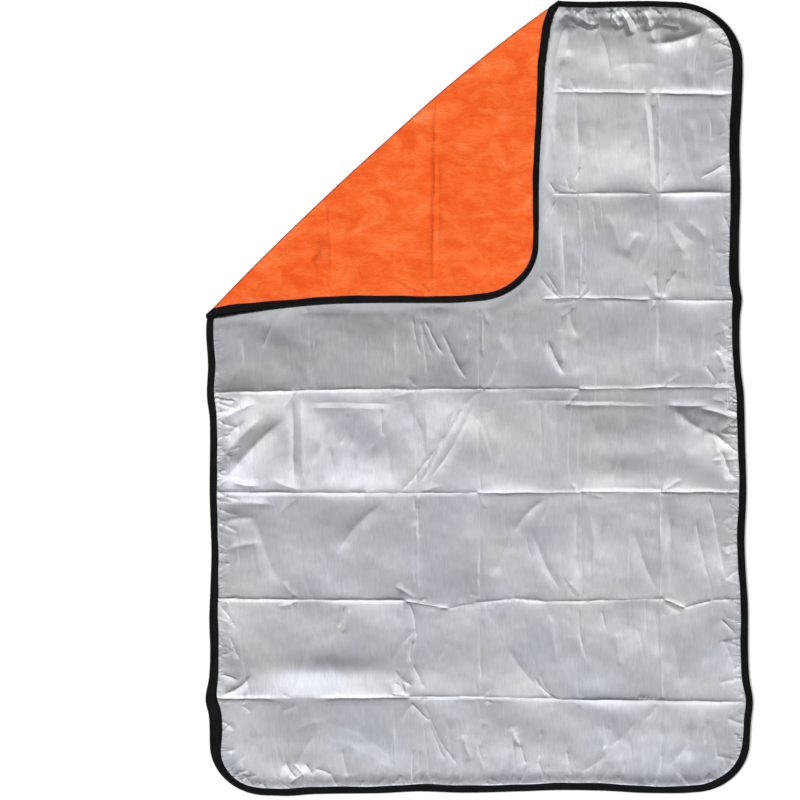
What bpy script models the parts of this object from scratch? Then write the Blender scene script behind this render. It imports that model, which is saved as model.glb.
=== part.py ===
"""Emergency foil blanket lying open on a surface, with its top left corner folded over.

Frame: +X across the blanket, +Y along it, +Z up. The origin is on the surface, below the middle.
Three pieces are sewn together: a silver foil face, an orange backing under it, and a black tape
bound round the edge of both. The corner is folded over, so the backing shows on top there.

Flat sheet points are (u, v), which are x and y where the blanket lies flat. Beyond the fold the
sheet turns over a soft bend and comes back above itself.
"""
import math
from collections import namedtuple

import bpy
from mathutils import Vector
from mathutils.geometry import delaunay_2d_cdt

HALF_WIDTH = 0.540
HALF_LENGTH = 0.900
FOIL_THICK = 0.0010
BACKING_THICK = 0.0010
TAPE_THICK = 0.0010
TAPE_WIDTH = 0.014
GAP = 0.0003
CORNER_RADIUS = 0.115
TOP_CORNER_RADIUS = 0.140
FLAP_CORNER_RADIUS = 0.130

# The sides' waves put the middle of the outline this far from the middle of the plain rectangle.
OUTLINE_MIDDLE = Vector((-0.00145, -0.00162))

# Heights are those of the middle of the two sheets, which the layers are offset from.
FOLD_RADIUS = 0.0045
MID_HEIGHT = GAP / 2 + BACKING_THICK
TAPE_INSIDE = GAP / 2 + FOIL_THICK + GAP
TAPE_OUTSIDE = TAPE_INSIDE + TAPE_THICK
EDGE_HEIGHT = TAPE_OUTSIDE
FLAP_HEIGHT = 0.0056
FLAP_DROP = 0.140

# The folded edge runs from its left end to its right end and bulges away from the flap.
FOLD_START = Vector((-0.557, 0.189))
FOLD_END = Vector((0.165, 0.903))
FOLD_SETBACK = FOLD_RADIUS + MID_HEIGHT
BEND_STEPS = 6

# How the mesh is spaced: along the edge, along creases, and between them.
EDGE_STEP = 0.040
CREASE_STEP = 0.075
FIELD_STEP = 0.100
ARC_STEPS = 6
FLAT_RIM = 0.017
RIM_FADE = 0.042
CLEARANCE = 0.020

Bow = namedtuple("Bow", "along out")
Crease = namedtuple("Crease", "x0 y0 x1 y1 rise half_width")
Swell = namedtuple("Swell", "x y reach_x reach_y rise")

# How far each side of the blanket bows out past its nominal line, along that side.
LEFT_SIDE = (
    Bow(-0.800, 0.002), Bow(-0.730, 0.004), Bow(-0.690, 0.011), Bow(-0.640, 0.004),
    Bow(-0.580, 0.002), Bow(-0.510, 0.004), Bow(-0.440, 0.002), Bow(-0.360, 0.000),
    Bow(-0.290, 0.002), Bow(-0.220, 0.004), Bow(-0.060, 0.004), Bow(0.000, 0.010),
    Bow(0.070, 0.008), Bow(0.145, 0.012), Bow(0.190, 0.009),
)
FOOT_SIDE = (
    Bow(-0.430, 0.007), Bow(-0.380, 0.008), Bow(-0.330, 0.004), Bow(-0.200, 0.002),
    Bow(-0.120, -0.002), Bow(-0.030, 0.001), Bow(0.080, -0.002), Bow(0.170, -0.005),
    Bow(0.260, -0.003), Bow(0.320, 0.001), Bow(0.400, 0.002), Bow(0.440, 0.000),
)
RIGHT_SIDE = (
    Bow(-0.790, 0.004), Bow(-0.740, 0.007), Bow(-0.695, 0.011), Bow(-0.640, 0.004),
    Bow(-0.580, 0.002), Bow(-0.480, 0.002), Bow(-0.400, -0.002), Bow(-0.330, -0.004),
    Bow(-0.220, 0.000), Bow(-0.110, -0.002), Bow(0.000, -0.004), Bow(0.050, -0.009),
    Bow(0.110, -0.012), Bow(0.180, -0.011), Bow(0.218, -0.007), Bow(0.260, -0.012),
    Bow(0.360, -0.012), Bow(0.470, -0.009), Bow(0.580, -0.010), Bow(0.660, -0.006),
    Bow(0.730, -0.003), Bow(0.770, -0.003),
)
TOP_SIDE = (Bow(0.160, 0.004), Bow(0.220, 0.002), Bow(0.340, 0.004), Bow(0.400, 0.002))

# The flap's two sides, once it is folded over.
FLAP_FOOT_Y = 0.2115
FLAP_SIDE_X = 0.1215
FLAP_FOOT = (
    Bow(-0.545, 0.037), Bow(-0.520, 0.031), Bow(-0.483, 0.024), Bow(-0.430, 0.016),
    Bow(-0.341, 0.006), Bow(-0.285, 0.002), Bow(-0.200, 0.000), Bow(-0.058, 0.000),
    Bow(0.000, -0.004),
)
FLAP_SIDE = (
    Bow(0.350, 0.000), Bow(0.400, 0.001), Bow(0.470, 0.001), Bow(0.545, 0.003),
    Bow(0.615, 0.007), Bow(0.690, 0.011), Bow(0.762, 0.015), Bow(0.842, 0.025),
    Bow(0.872, 0.033), Bow(0.895, 0.043),
)

FLAP_MIDDLE = Vector((-0.1, 0.5))

# How far the folded edge bulges, along it from its left end.
FOLD_LINE = (
    Bow(0.000, -0.010), Bow(0.100, -0.001), Bow(0.230, 0.0075), Bow(0.400, 0.015),
    Bow(0.560, 0.0185), Bow(0.680, 0.020), Bow(0.800, 0.017), Bow(0.910, 0.0105),
    Bow(0.985, 0.003), Bow(1.016, 0.000),
)

# Creases left by the way the blanket was packed: across it, then along it.
CROSS_FOLDS = (
    Crease(0.150, 0.690, 0.510, 0.691, 0.0050, 0.024),
    Crease(0.150, 0.461, 0.510, 0.463, 0.0045, 0.024),
    Crease(0.150, 0.222, 0.510, 0.219, 0.0045, 0.024),
    Crease(-0.520, 0.002, 0.510, 0.019, 0.0065, 0.028),
    Crease(-0.520, -0.220, 0.510, -0.224, 0.0050, 0.024),
    Crease(-0.520, -0.464, 0.510, -0.465, 0.0055, 0.026),
    Crease(-0.520, -0.687, 0.520, -0.699, 0.0050, 0.024),
)
LONG_FOLDS = (
    Crease(0.366, 0.860, 0.368, -0.860, 0.0045, 0.022),
    Crease(0.203, 0.690, 0.208, -0.465, 0.0035, 0.020),
    Crease(0.003, 0.190, 0.003, -0.850, 0.0035, 0.020),
    Crease(-0.130, 0.180, -0.122, -0.700, 0.0030, 0.020),
    Crease(-0.360, 0.170, -0.366, -0.464, 0.0030, 0.020),
)

# Wrinkles that run across the panels at a slant.
WRINKLES = (
    Crease(-0.074, 0.147, -0.023, 0.033, 0.0035, 0.016),
    Crease(-0.396, -0.034, -0.505, -0.160, 0.0045, 0.022),
    Crease(-0.033, -0.034, -0.159, -0.223, 0.0040, 0.018),
    Crease(0.145, -0.228, 0.027, -0.406, 0.0040, 0.018),
    Crease(-0.447, -0.280, -0.372, -0.440, 0.0035, 0.020),
    Crease(-0.190, -0.253, -0.281, -0.365, 0.0035, 0.018),
    Crease(0.358, -0.486, 0.317, -0.612, 0.0035, 0.018),
    Crease(0.054, -0.566, 0.125, -0.669, 0.0035, 0.018),
    Crease(-0.390, -0.780, -0.180, -0.850, 0.0040, 0.022),
    Crease(-0.139, -0.698, -0.068, -0.829, 0.0035, 0.018),
    Crease(0.327, -0.721, 0.192, -0.855, 0.0040, 0.020),
    Crease(0.455, -0.721, 0.390, -0.850, 0.0035, 0.018),
    Crease(0.354, 0.800, 0.445, 0.839, 0.0045, 0.022),
    Crease(0.384, 0.400, 0.429, 0.314, 0.0040, 0.020),
    Crease(0.185, 0.850, 0.158, 0.702, 0.0035, 0.018),
    Crease(0.400, 0.060, 0.480, -0.090, 0.0045, 0.024),
)

# Shallow places where a panel stands off the surface.
SWELLS = (
    Swell(0.280, 0.780, 0.100, 0.070, 0.0030),
    Swell(0.440, 0.570, 0.080, 0.080, 0.0025),
    Swell(0.290, 0.340, 0.090, 0.080, 0.0025),
    Swell(-0.250, 0.100, 0.110, 0.070, 0.0025),
    Swell(-0.420, -0.110, 0.090, 0.090, 0.0030),
    Swell(0.440, -0.040, 0.090, 0.080, 0.0040),
    Swell(-0.470, -0.330, 0.060, 0.080, 0.0025),
    Swell(0.280, -0.350, 0.080, 0.080, 0.0025),
    Swell(-0.250, -0.580, 0.100, 0.080, 0.0025),
    Swell(0.420, -0.590, 0.080, 0.080, 0.0025),
    Swell(0.060, -0.780, 0.100, 0.070, 0.0030),
)
FLAP_CREASES = (
    Crease(-0.087, 0.670, -0.092, 0.245, 0.0040, 0.022),
    Crease(-0.307, 0.440, -0.294, 0.245, 0.0030, 0.020),
    Crease(-0.084, 0.632, 0.095, 0.636, 0.0030, 0.020),
)

# colour, roughness and metallic of each piece
SILVER = ((0.62, 0.63, 0.65), 0.28, 1.0)
ORANGE = ((0.90, 0.16, 0.025), 0.75, 0.0)
BLACK = ((0.012, 0.012, 0.014), 0.80, 0.0)

FOLD_ALONG = (FOLD_END - FOLD_START).normalized()
FOLD_OUT = Vector((-FOLD_ALONG.y, FOLD_ALONG.x))
BEND_LENGTH = math.pi * FOLD_RADIUS


def clear_scene():
    for item in list(bpy.data.objects):
        bpy.data.objects.remove(item, do_unlink=True)


def smooth(value):
    value = min(1.0, max(0.0, value))
    return value * value * (3 - 2 * value)


def bow_at(rows, at):
    """A smooth curve through the rows of a side, flat past its ends."""
    if at <= rows[0].along:
        return rows[0].out
    if at >= rows[-1].along:
        return rows[-1].out
    index = next(i for i in range(len(rows) - 1) if at <= rows[i + 1].along)
    before, start, end, after = (rows[min(max(index + k, 0), len(rows) - 1)] for k in (-1, 0, 1, 2))
    span = end.along - start.along
    share = (at - start.along) / span
    slope_start = (end.out - before.out) / (end.along - before.along) * span
    slope_end = (after.out - start.out) / (after.along - start.along) * span
    curve = start.out + (end.out - start.out) * smooth(share)
    return curve + share * (1 - share) * (slope_start * (1 - share) - slope_end * share)


def steps(start, end, size):
    """Evenly spaced values from start up to, and without, the end."""
    count = max(1, round(abs(end - start) / size))
    return [start + (end - start) * i / count for i in range(count)]


def arc(centre, radius, start_degrees, turn_degrees):
    angles = [math.radians(start_degrees + turn_degrees * i / ARC_STEPS) for i in range(ARC_STEPS)]
    return [Vector((centre[0] + radius * math.cos(a), centre[1] + radius * math.sin(a))) for a in angles]


def fold_place(point):
    """Distance along the folded edge, and past the line where the sheet starts to bend."""
    offset = Vector(point) - FOLD_START
    along = offset.dot(FOLD_ALONG)
    return along, offset.dot(FOLD_OUT) - bow_at(FOLD_LINE, along) + FOLD_SETBACK


def fold_point(along, past):
    """The flat sheet point at these distances from the folded edge's start."""
    return FOLD_START + FOLD_ALONG * along + FOLD_OUT * (bow_at(FOLD_LINE, along) - FOLD_SETBACK + past)


def unfold(point):
    """The flat sheet point that lies at this place once the flap is folded over."""
    along, past = fold_place(point)
    return fold_point(along, BEND_LENGTH - past)


def left_point(y):
    return Vector((-HALF_WIDTH - bow_at(LEFT_SIDE, y), y))


def foot_point(x):
    return Vector((x, -HALF_LENGTH - bow_at(FOOT_SIDE, x)))


def right_point(y):
    return Vector((HALF_WIDTH + bow_at(RIGHT_SIDE, y), y))


def top_point(x):
    return Vector((x, HALF_LENGTH + bow_at(TOP_SIDE, x)))


def flap_foot_point(x):
    return Vector((x, FLAP_FOOT_Y - bow_at(FLAP_FOOT, x)))


def flap_side_point(y):
    return Vector((FLAP_SIDE_X + bow_at(FLAP_SIDE, y), y))


def lying_edge():
    """The blanket's outer edge where it lies flat, from the fold's left end round to its right end."""
    radius = CORNER_RADIUS
    left, foot = left_point(-HALF_LENGTH).x, foot_point(-HALF_WIDTH).y
    right, foot_right = right_point(-HALF_LENGTH).x, foot_point(HALF_WIDTH).y
    right_top, top = right_point(HALF_LENGTH).x, top_point(HALF_WIDTH).y
    edge = [left_point(y) for y in steps(FOLD_START.y - EDGE_STEP, foot + radius, EDGE_STEP)]
    edge += arc((left + radius, foot + radius), radius, 180, 90)
    edge += [foot_point(x) for x in steps(left + radius, right - radius, EDGE_STEP)]
    edge += arc((right - radius, foot_right + radius), radius, 270, 90)
    top_radius = TOP_CORNER_RADIUS
    edge += [right_point(y) for y in steps(foot_right + radius, top - top_radius, EDGE_STEP)]
    edge += arc((right_top - top_radius, top - top_radius), top_radius, 0, 90)
    end = FOLD_END.x + EDGE_STEP
    edge += [top_point(x) for x in steps(right_top - top_radius, end, EDGE_STEP)] + [top_point(end)]
    return edge


def flap_edge():
    """The flap's outer edge as it lies folded over, from the fold's right end to its left end."""
    radius = FLAP_CORNER_RADIUS
    corner = Vector((flap_side_point(FLAP_SIDE[0].along).x, flap_foot_point(0.0).y))
    edge = [flap_side_point(y) for y in steps(FLAP_SIDE[-2].along, corner.y + radius, EDGE_STEP)]
    edge += arc((corner.x - radius, corner.y + radius), radius, 0, -90)
    return edge + [flap_foot_point(x) for x in steps(corner.x - radius, FLAP_FOOT[0].along, EDGE_STEP)]


def meeting(side_point, before, after):
    """Where a side of the blanket reaches the line at which the sheet starts to bend."""
    for _ in range(30):
        middle = (before + after) / 2
        if fold_place(side_point(middle))[1] < 0:
            before = middle
        else:
            after = middle
    return fold_place(side_point(before))[0]


def bend_crossing(along_start, along_end):
    """Edge points over the bend, at equal turns, for an edge that drifts along the fold."""
    turns = [i / BEND_STEPS for i in range(BEND_STEPS + 1)]
    return [fold_point(along_start + (along_end - along_start) * t, BEND_LENGTH * t) for t in turns]


class Station:
    """A point on the edge, and the way in from it: along the fold where the sheet bends."""

    def __init__(self, point, inward, lead, bent):
        self.point = point
        self.lead = lead
        self.along, self.past = fold_place(point)
        self.drift = 1 / FOLD_ALONG.dot(inward) if bent else None

    def inset(self, distance):
        if self.drift is None:
            return self.point + self.lead * distance
        return fold_point(self.along + self.drift * distance, self.past)


def edge_stations():
    """The whole edge as flat sheet points, and the numbers of those on each bend."""
    right_end = fold_place(flap_side_point(FLAP_SIDE[-1].along))[0]
    left_end = fold_place(flap_foot_point(FLAP_FOOT[0].along))[0]
    right_bend = bend_crossing(meeting(top_point, FOLD_END.x + EDGE_STEP, FOLD_END.x - EDGE_STEP), right_end)
    left_bend = bend_crossing(meeting(left_point, 0.0, FOLD_START.y + EDGE_STEP), left_end)[::-1]
    lying, flap = lying_edge(), [unfold(p) for p in flap_edge()]
    points = lying + right_bend + flap + left_bend
    right = [len(lying) + k for k in range(BEND_STEPS + 1)]
    left = [len(points) - 1 - k for k in range(BEND_STEPS + 1)]
    stations = []
    for i, point in enumerate(points):
        before = (point - points[i - 1]).normalized()
        after = (points[(i + 1) % len(points)] - point).normalized()
        inward = Vector((-before.y - after.y, before.x + after.x)).normalized()
        lead = inward / max(0.5, inward.dot(Vector((-after.y, after.x))))
        stations.append(Station(point, inward, lead, i in right + left))
    return stations, left, right


def distance_to_line(point, start, end):
    """Distance to a straight stretch, and how far along it the nearest place is, from 0 to 1."""
    run = end - start
    share = min(1.0, max(0.0, (point - start).dot(run) / run.length_squared))
    return (point - start - run * share).length, share


def ridge(point, crease):
    """A crease's height: a ridge with straight sides that runs out towards its ends."""
    distance, share = distance_to_line(point, Vector((crease.x0, crease.y0)), Vector((crease.x1, crease.y1)))
    side = max(0.0, 1 - distance / crease.half_width)
    return crease.rise * side * smooth(6 * min(share, 1 - share) + 0.25)


def swell_height(point, swell):
    reach = ((point.x - swell.x) / swell.reach_x) ** 2 + ((point.y - swell.y) / swell.reach_y) ** 2
    return swell.rise * max(0.0, 1 - reach) ** 2


def inside(point, outline):
    crossings = 0
    for i, end in enumerate(outline):
        start = outline[i - 1]
        if (start.y > point.y) != (end.y > point.y):
            across = start.x + (point.y - start.y) / (end.y - start.y) * (end.x - start.x)
            crossings += across > point.x
    return crossings % 2 == 1


class Blanket:
    """Where each flat sheet point lies in space, and which way the silver side faces there."""

    def __init__(self):
        self.stations, self.left_bend, self.right_bend = edge_stations()
        self.edge = [station.point for station in self.stations]
        self.flap = flap_edge() + [fold_point(row.along, 0) for row in FOLD_LINE]

    def rim_distance(self, point):
        return min(distance_to_line(point, self.edge[i - 1], self.edge[i])[0] for i in range(len(self.edge)))

    def lift(self, rim):
        """The sheets rise a little at the edge, where the tape passes under them."""
        return (EDGE_HEIGHT - MID_HEIGHT) * (1 - smooth((rim - FLAT_RIM) / (RIM_FADE - FLAT_RIM)))

    def relief(self, point, rim):
        """Creases and swells of the lying part, which is flat at its rim and under the flap."""
        if inside(point, self.flap):
            return 0.0
        flap_away = min(distance_to_line(point, self.flap[i - 1], self.flap[i])[0] for i in range(len(self.flap)))
        calm = smooth((rim - FLAT_RIM) / (RIM_FADE - FLAT_RIM)) * smooth((flap_away - 0.004) / CLEARANCE)
        ridges = max(ridge(point, crease) for crease in CROSS_FOLDS + LONG_FOLDS + WRINKLES)
        return calm * (ridges + max(swell_height(point, swell) for swell in SWELLS))

    def place(self, point):
        """The point in space of a flat sheet point, in the middle of the two sheets."""
        rim = self.rim_distance(point)
        along, past = fold_place(point)
        base = MID_HEIGHT + self.lift(rim)
        if past <= 0:
            return (point - OUTLINE_MIDDLE).to_3d() + Vector((0, 0, base + self.relief(point, rim)))
        turn = min(past, BEND_LENGTH) / FOLD_RADIUS
        back = max(0.0, past - BEND_LENGTH)
        flat = fold_point(along, FOLD_RADIUS * math.sin(turn) - back)
        top = base + FOLD_RADIUS * (1 - math.cos(turn))
        fall = smooth(back / FLAP_DROP)
        calm = smooth((rim - FLAT_RIM) / (RIM_FADE - FLAT_RIM)) * smooth(back / RIM_FADE)
        crease = calm * max(ridge(flat, crease) for crease in FLAP_CREASES)
        height = top * (1 - fall) + FLAP_HEIGHT * fall + crease
        return (flat - OUTLINE_MIDDLE).to_3d() + Vector((0, 0, height))

    def facing(self, point):
        """The unit vector that the silver side faces, from the bend and the flap's slope."""
        past = fold_place(point)[1]
        if past <= 0:
            return Vector((0, 0, 1))
        if past >= BEND_LENGTH:
            return Vector((0, 0, -1))
        turn = past / FOLD_RADIUS
        return Vector((-FOLD_OUT.x * math.sin(turn), -FOLD_OUT.y * math.sin(turn), math.cos(turn)))


def far_from(point, others, distance):
    return all((point - other).length > distance for other in others)


def crease_points(crease):
    """Points on a crease's top and at the foot of its two sides."""
    start, end = Vector((crease.x0, crease.y0)), Vector((crease.x1, crease.y1))
    side = Vector((start.y - end.y, end.x - start.x)).normalized() * crease.half_width
    count = max(2, round((end - start).length / CREASE_STEP))
    tops = [start.lerp(end, i / count) for i in range(count + 1)]
    feet = [point + side for point in tops] + [point - side for point in tops]
    return tops, feet


def field_points(reach_x, reach_y):
    """Even points over the whole sheet, in staggered rows."""
    points = []
    rows = math.ceil(2 * reach_y / FIELD_STEP)
    columns = math.ceil(2 * reach_x / FIELD_STEP)
    for j in range(rows + 1):
        for i in range(columns + 1):
            shift = 0.5 * (j % 2)
            points.append(Vector((-reach_x + (i + shift) * FIELD_STEP, -reach_y + j * FIELD_STEP)))
    return points


def bend_row(step):
    """A row of points along the fold at one step of its turn."""
    count = round(FOLD_LINE[-1].along / CREASE_STEP)
    past = BEND_LENGTH * step / BEND_STEPS
    return [fold_point(FOLD_LINE[-1].along * i / count, past) for i in range(1, count)]


def sheet_triangles(blanket):
    """One triangle mesh for both sheets: flat points, triangles and the height of each point."""
    border = [station.inset(TAPE_THICK + GAP) for station in blanket.stations]
    rim = [station.inset(FLAT_RIM) for station in blanket.stations]
    points = list(border) + list(rim)
    count = len(border)
    chains = [[i + k * count for i in range(count)] + [k * count] for k in (0, 1)]
    for step, (left, right) in enumerate(zip(blanket.left_bend, blanket.right_bend)):
        row = bend_row(step)
        inner = list(range(len(points), len(points) + len(row)))
        chains.append([left, left + count] + inner + [right + count, right])
        points += row
    feet = []
    for crease in CROSS_FOLDS + LONG_FOLDS + WRINKLES:
        tops, sides = crease_points(crease)
        kept = [p for p in tops if inside(p, blanket.edge) and fold_place(p)[1] < -FLAT_RIM]
        kept = [p for p in kept if far_from(p, points, 0.012) and not inside(p, blanket.flap)]
        chains.append(list(range(len(points), len(points) + len(kept))))
        points += kept
        feet += [p for p in sides if not inside(p, blanket.flap)]
    for crease in FLAP_CREASES:
        tops, sides = crease_points(crease)
        points += [unfold(p) for p in tops if far_from(unfold(p), points, 0.012)]
        feet += [unfold(p) for p in sides]
    fade = [station.inset(RIM_FADE) for station in blanket.stations[::2]]
    around_flap = [p + (p - FLAP_MIDDLE).normalized() * CLEARANCE for p in flap_edge()]
    for p in fade + around_flap + feet + field_points(0.66, 1.0):
        near = 0.45 * CLEARANCE if p in feet else CLEARANCE
        if inside(p, blanket.edge) and blanket.rim_distance(p) > FLAT_RIM * 1.3:
            bend_clear = abs(fold_place(p)[1] - BEND_LENGTH / 2) > BEND_LENGTH * 0.5 + 0.008
            if bend_clear and far_from(p, points, near):
                points.append(p)
    edges = [(a, b) for chain in chains for a, b in zip(chain, chain[1:])]
    outline = [list(range(count))]
    flat, _, triangles = delaunay_2d_cdt(points, edges, outline, 1, 1e-6, False)[:3]
    middles = [(flat[a] + flat[b] + flat[c]) / 3 for a, b, c in triangles]
    return flat, [t for t, middle in zip(triangles, middles) if inside(middle, border)]


def boundary_edges(triangles):
    """The directed edges that only one triangle has."""
    directed = {(t[i], t[(i + 1) % 3]) for t in triangles for i in range(3)}
    return [(a, b) for a, b in directed if (b, a) not in directed]


def add_object(name, vertices, faces, material):
    mesh = bpy.data.meshes.new(name)
    mesh.from_pydata(vertices, [], faces)
    mesh.materials.append(material)
    mesh.shade_smooth()
    mesh.set_sharp_from_angle(angle=math.radians(40))
    item = bpy.data.objects.new(name, mesh)
    bpy.context.collection.objects.link(item)
    return item


def add_sheet(name, middles, facings, triangles, low, high, material):
    """A closed thin sheet between two offsets from the middle of the blanket's layers."""
    count = len(middles)
    top = [m + f * high for m, f in zip(middles, facings)]
    bottom = [m + f * low for m, f in zip(middles, facings)]
    faces = [tuple(t) for t in triangles]
    faces += [(t[2] + count, t[1] + count, t[0] + count) for t in triangles]
    for a, b in sorted(boundary_edges(triangles)):
        faces += [(b, a, a + count), (b, a + count, b + count)]
    return add_object(name, top + bottom, faces, material)


def add_tape(name, blanket, material):
    """A tape folded round the sheets' edge, with a U-shaped section, as one closed ring."""
    section = (
        (0.0, -TAPE_OUTSIDE), (0.0, TAPE_OUTSIDE), (TAPE_WIDTH, TAPE_OUTSIDE), (TAPE_WIDTH, TAPE_INSIDE),
        (TAPE_THICK, TAPE_INSIDE), (TAPE_THICK, -TAPE_INSIDE), (TAPE_WIDTH, -TAPE_INSIDE),
        (TAPE_WIDTH, -TAPE_OUTSIDE),
    )
    vertices = []
    for station in blanket.stations:
        for inset, offset in section:
            flat = station.inset(inset)
            vertices.append(blanket.place(flat) + blanket.facing(flat) * offset)
    sides = len(section)
    rings = len(blanket.stations)
    faces = []
    for ring in range(rings):
        here, there = ring * sides, (ring + 1) % rings * sides
        for k in range(sides):
            after = (k + 1) % sides
            a, b, c, d = here + k, here + after, there + after, there + k
            if (vertices[a] - vertices[c]).length < (vertices[b] - vertices[d]).length:
                faces += [(a, c, b), (a, d, c)]
            else:
                faces += [(a, d, b), (b, d, c)]
    return add_object(name, vertices, faces, material)


def finish(name, look):
    colour, roughness, metallic = look
    material = bpy.data.materials.new(name)
    material.use_nodes = True
    shader = material.node_tree.nodes["Principled BSDF"]
    shader.inputs["Base Color"].default_value = (*colour, 1)
    shader.inputs["Roughness"].default_value = roughness
    shader.inputs["Metallic"].default_value = metallic
    return material


def build():
    clear_scene()
    blanket = Blanket()
    flat, triangles = sheet_triangles(blanket)
    middles = [blanket.place(point) for point in flat]
    facings = [blanket.facing(point) for point in flat]
    half = GAP / 2
    foil = (half, half + FOIL_THICK)
    backing = (-half - BACKING_THICK, -half)
    add_sheet("foil_face", middles, facings, triangles, *foil, finish("silver_foil", SILVER))
    add_sheet("orange_backing", middles, facings, triangles, *backing, finish("orange_cloth", ORANGE))
    add_tape("edge_binding", blanket, finish("black_tape", BLACK))


build()
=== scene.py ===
"""Looks of the emergency foil blanket: creased silver foil, fibrous orange backing and black tape.

The blanket lies silver side up, with its top left corner folded over. Every point of its sheets is
first a flat point, as if nothing were folded. Blanket.locate() bends it over the fold and adds the
creases that packing and handling left. The outline's rows are those of the solids.
Lengths are in metres, and in millimetres in the tables of creases, swells and puckers.
"""
import math
from collections import namedtuple

import bpy
import numpy as np
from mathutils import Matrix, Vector, kdtree
from mathutils.geometry import delaunay_2d_cdt


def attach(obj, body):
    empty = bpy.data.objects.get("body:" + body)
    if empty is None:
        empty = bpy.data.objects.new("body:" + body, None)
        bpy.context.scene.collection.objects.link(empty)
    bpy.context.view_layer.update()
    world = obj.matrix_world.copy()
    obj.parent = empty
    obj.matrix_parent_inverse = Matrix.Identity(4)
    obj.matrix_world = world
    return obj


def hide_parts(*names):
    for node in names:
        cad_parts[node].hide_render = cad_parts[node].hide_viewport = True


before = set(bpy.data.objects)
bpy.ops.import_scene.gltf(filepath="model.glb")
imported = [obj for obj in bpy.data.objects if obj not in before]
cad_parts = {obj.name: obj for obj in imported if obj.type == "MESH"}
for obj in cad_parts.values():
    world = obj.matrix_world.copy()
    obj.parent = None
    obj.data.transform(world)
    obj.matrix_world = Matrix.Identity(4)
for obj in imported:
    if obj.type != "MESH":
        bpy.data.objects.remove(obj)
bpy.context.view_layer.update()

MM = 0.001
HALF_WIDTH = 0.540
HALF_LENGTH = 0.900
FOIL_THICK = 0.0010
BACKING_THICK = 0.0010
TAPE_THICK = 0.0010
TAPE_WIDTH = 0.0145
GAP = 0.0003
CORNER_RADIUS = 0.115
TOP_CORNER_RADIUS = 0.140
FLAP_CORNER_RADIUS = 0.130
OUTLINE_MIDDLE = np.array((-0.00145, -0.00162))

# Heights are those of the middle of the two sheets.
FOLD_RADIUS = 0.0045
MID_HEIGHT = GAP / 2 + BACKING_THICK
TAPE_INSIDE = GAP / 2 + FOIL_THICK + GAP
TAPE_OUTSIDE = TAPE_INSIDE + TAPE_THICK
TAPE_LIP = TAPE_INSIDE + 0.0004
TAPE_EDGE = 0.97
TAPE_EDGE_HEIGHT = TAPE_OUTSIDE - 0.0002
TAPE_ROWS = (0.45, 0.57, 0.67, 0.77, 0.87)
TAPE_NOSE_STEPS = 9
TAPE_SHARP = math.radians(50)
TAPE_WAVES = ((0.0006, 0.11), (0.0004, 0.37))
EDGE_HEIGHT = TAPE_OUTSIDE
FLAP_HEIGHT = 0.0053
FLAP_DROP = 0.140
FLAP_DIP = -0.0018
FLAP_STRENGTH = 1.6
FOLD_START = np.array((-0.557, 0.189))
FOLD_END = np.array((0.165, 0.903))
FOLD_SETBACK = FOLD_RADIUS + MID_HEIGHT
BEND_LENGTH = math.pi * FOLD_RADIUS
FOLD_ALONG = (FOLD_END - FOLD_START) / np.linalg.norm(FOLD_END - FOLD_START)
FOLD_OUT = np.array((-FOLD_ALONG[1], FOLD_ALONG[0]))

# The foil stands a little off the surface inside its taped edge, and dips back no nearer than SHALLOW.
FLAT_RIM = 0.017
RIM_FADE = 0.042
RELIEF_START = 0.010
RELIEF_FADE = 0.006
FLAP_CLEAR = 0.032
CREASE_CLEAR = 0.014
FOIL_LIFT = 0.0012
SHALLOW = 0.0005

# How creases are rounded at the crest and taper off at their ends, as shares of their length or in
# metres. Those narrower than THIN, in millimetres, are uneven along their length.
CREST_RADIUS = 0.0008
THIN = 4.5
SOFT_WIDTH = 3.0
SOFT_CREST = 0.30
FOLD_ROUNDING = 2.0
FOLD_TAPER = 0.008
THIN_TAPER = 0.2
WIDE_TAPER = 0.3
WIDE_STRENGTH = 1.3
CREASE_REACH = 5
SWELL_SHARE = 0.5

# A crease's uneven wave: its long part's share, what sets the phases, and its lengths in millimetres.
LONG_SHARE = 0.65
LONG_PHASE = (0.37, 0.11)
SHORT_PHASE = (0.23, 0.41)
WOBBLE = 0.8
WOBBLE_LENGTHS = (83, 31)
UNEVEN = 0.35
UNEVEN_LENGTHS = (230, 110)

# How finely the sheets and the tape are meshed.
EDGE_STEP = 0.0050
SIDE_OVERLAP = 4 * EDGE_STEP
MEETING_REACH = 0.03
MEETING_STEPS = 800
FOLD_STEPS = 200
BEND_STEPS = 12
BEND_STEP = 0.006
BEND_CELL = 0.0008
BEND_OVERLAP = 0.01
BEND_CLEAR = 0.002
CELL = 0.0014
INNER_CLEAR = 0.003
MERGE_DISTANCE = 1e-6
TINY = 1e-12
CREASE_STEP = 0.0080
FIELD_STEP = 0.0130
FIELD_REACH = (0.7, 1.1)
SHEET_INSET = TAPE_THICK + GAP
RIM_ROWS = (0.0075, 0.0125, 0.0165, 0.0210, 0.0270)
FOLD_ROWS = (-9.0, -3.5, -1.3, 1.3, 3.5, 9.0)
WRINKLE_ROWS = (-4.2, -1.3, 1.3, 4.2)
PUCKER_ROWS = (-2.5, 2.5)
LEAD_SMOOTHING = 6
NORMAL_STEP = 0.0004

Bow = namedtuple("Bow", "along out")
Crease = namedtuple("Crease", "x0 y0 x1 y1 bend rise width")
Swell = namedtuple("Swell", "x y reach_x reach_y rise")
PanelHeights = namedtuple("PanelHeights", "y edge_left far_left left middle right far_right edge_right")
Puckers = namedtuple("Puckers", "x y reach spacing length rise")
Widening = namedtuple("Widening", "x y reach extra")
Waves = namedtuple("Waves", "seed count shortest longest rise")


def table(kind, *rows):
    """The rows as named tuples of one kind."""
    return tuple(kind(*row) for row in rows)


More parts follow.
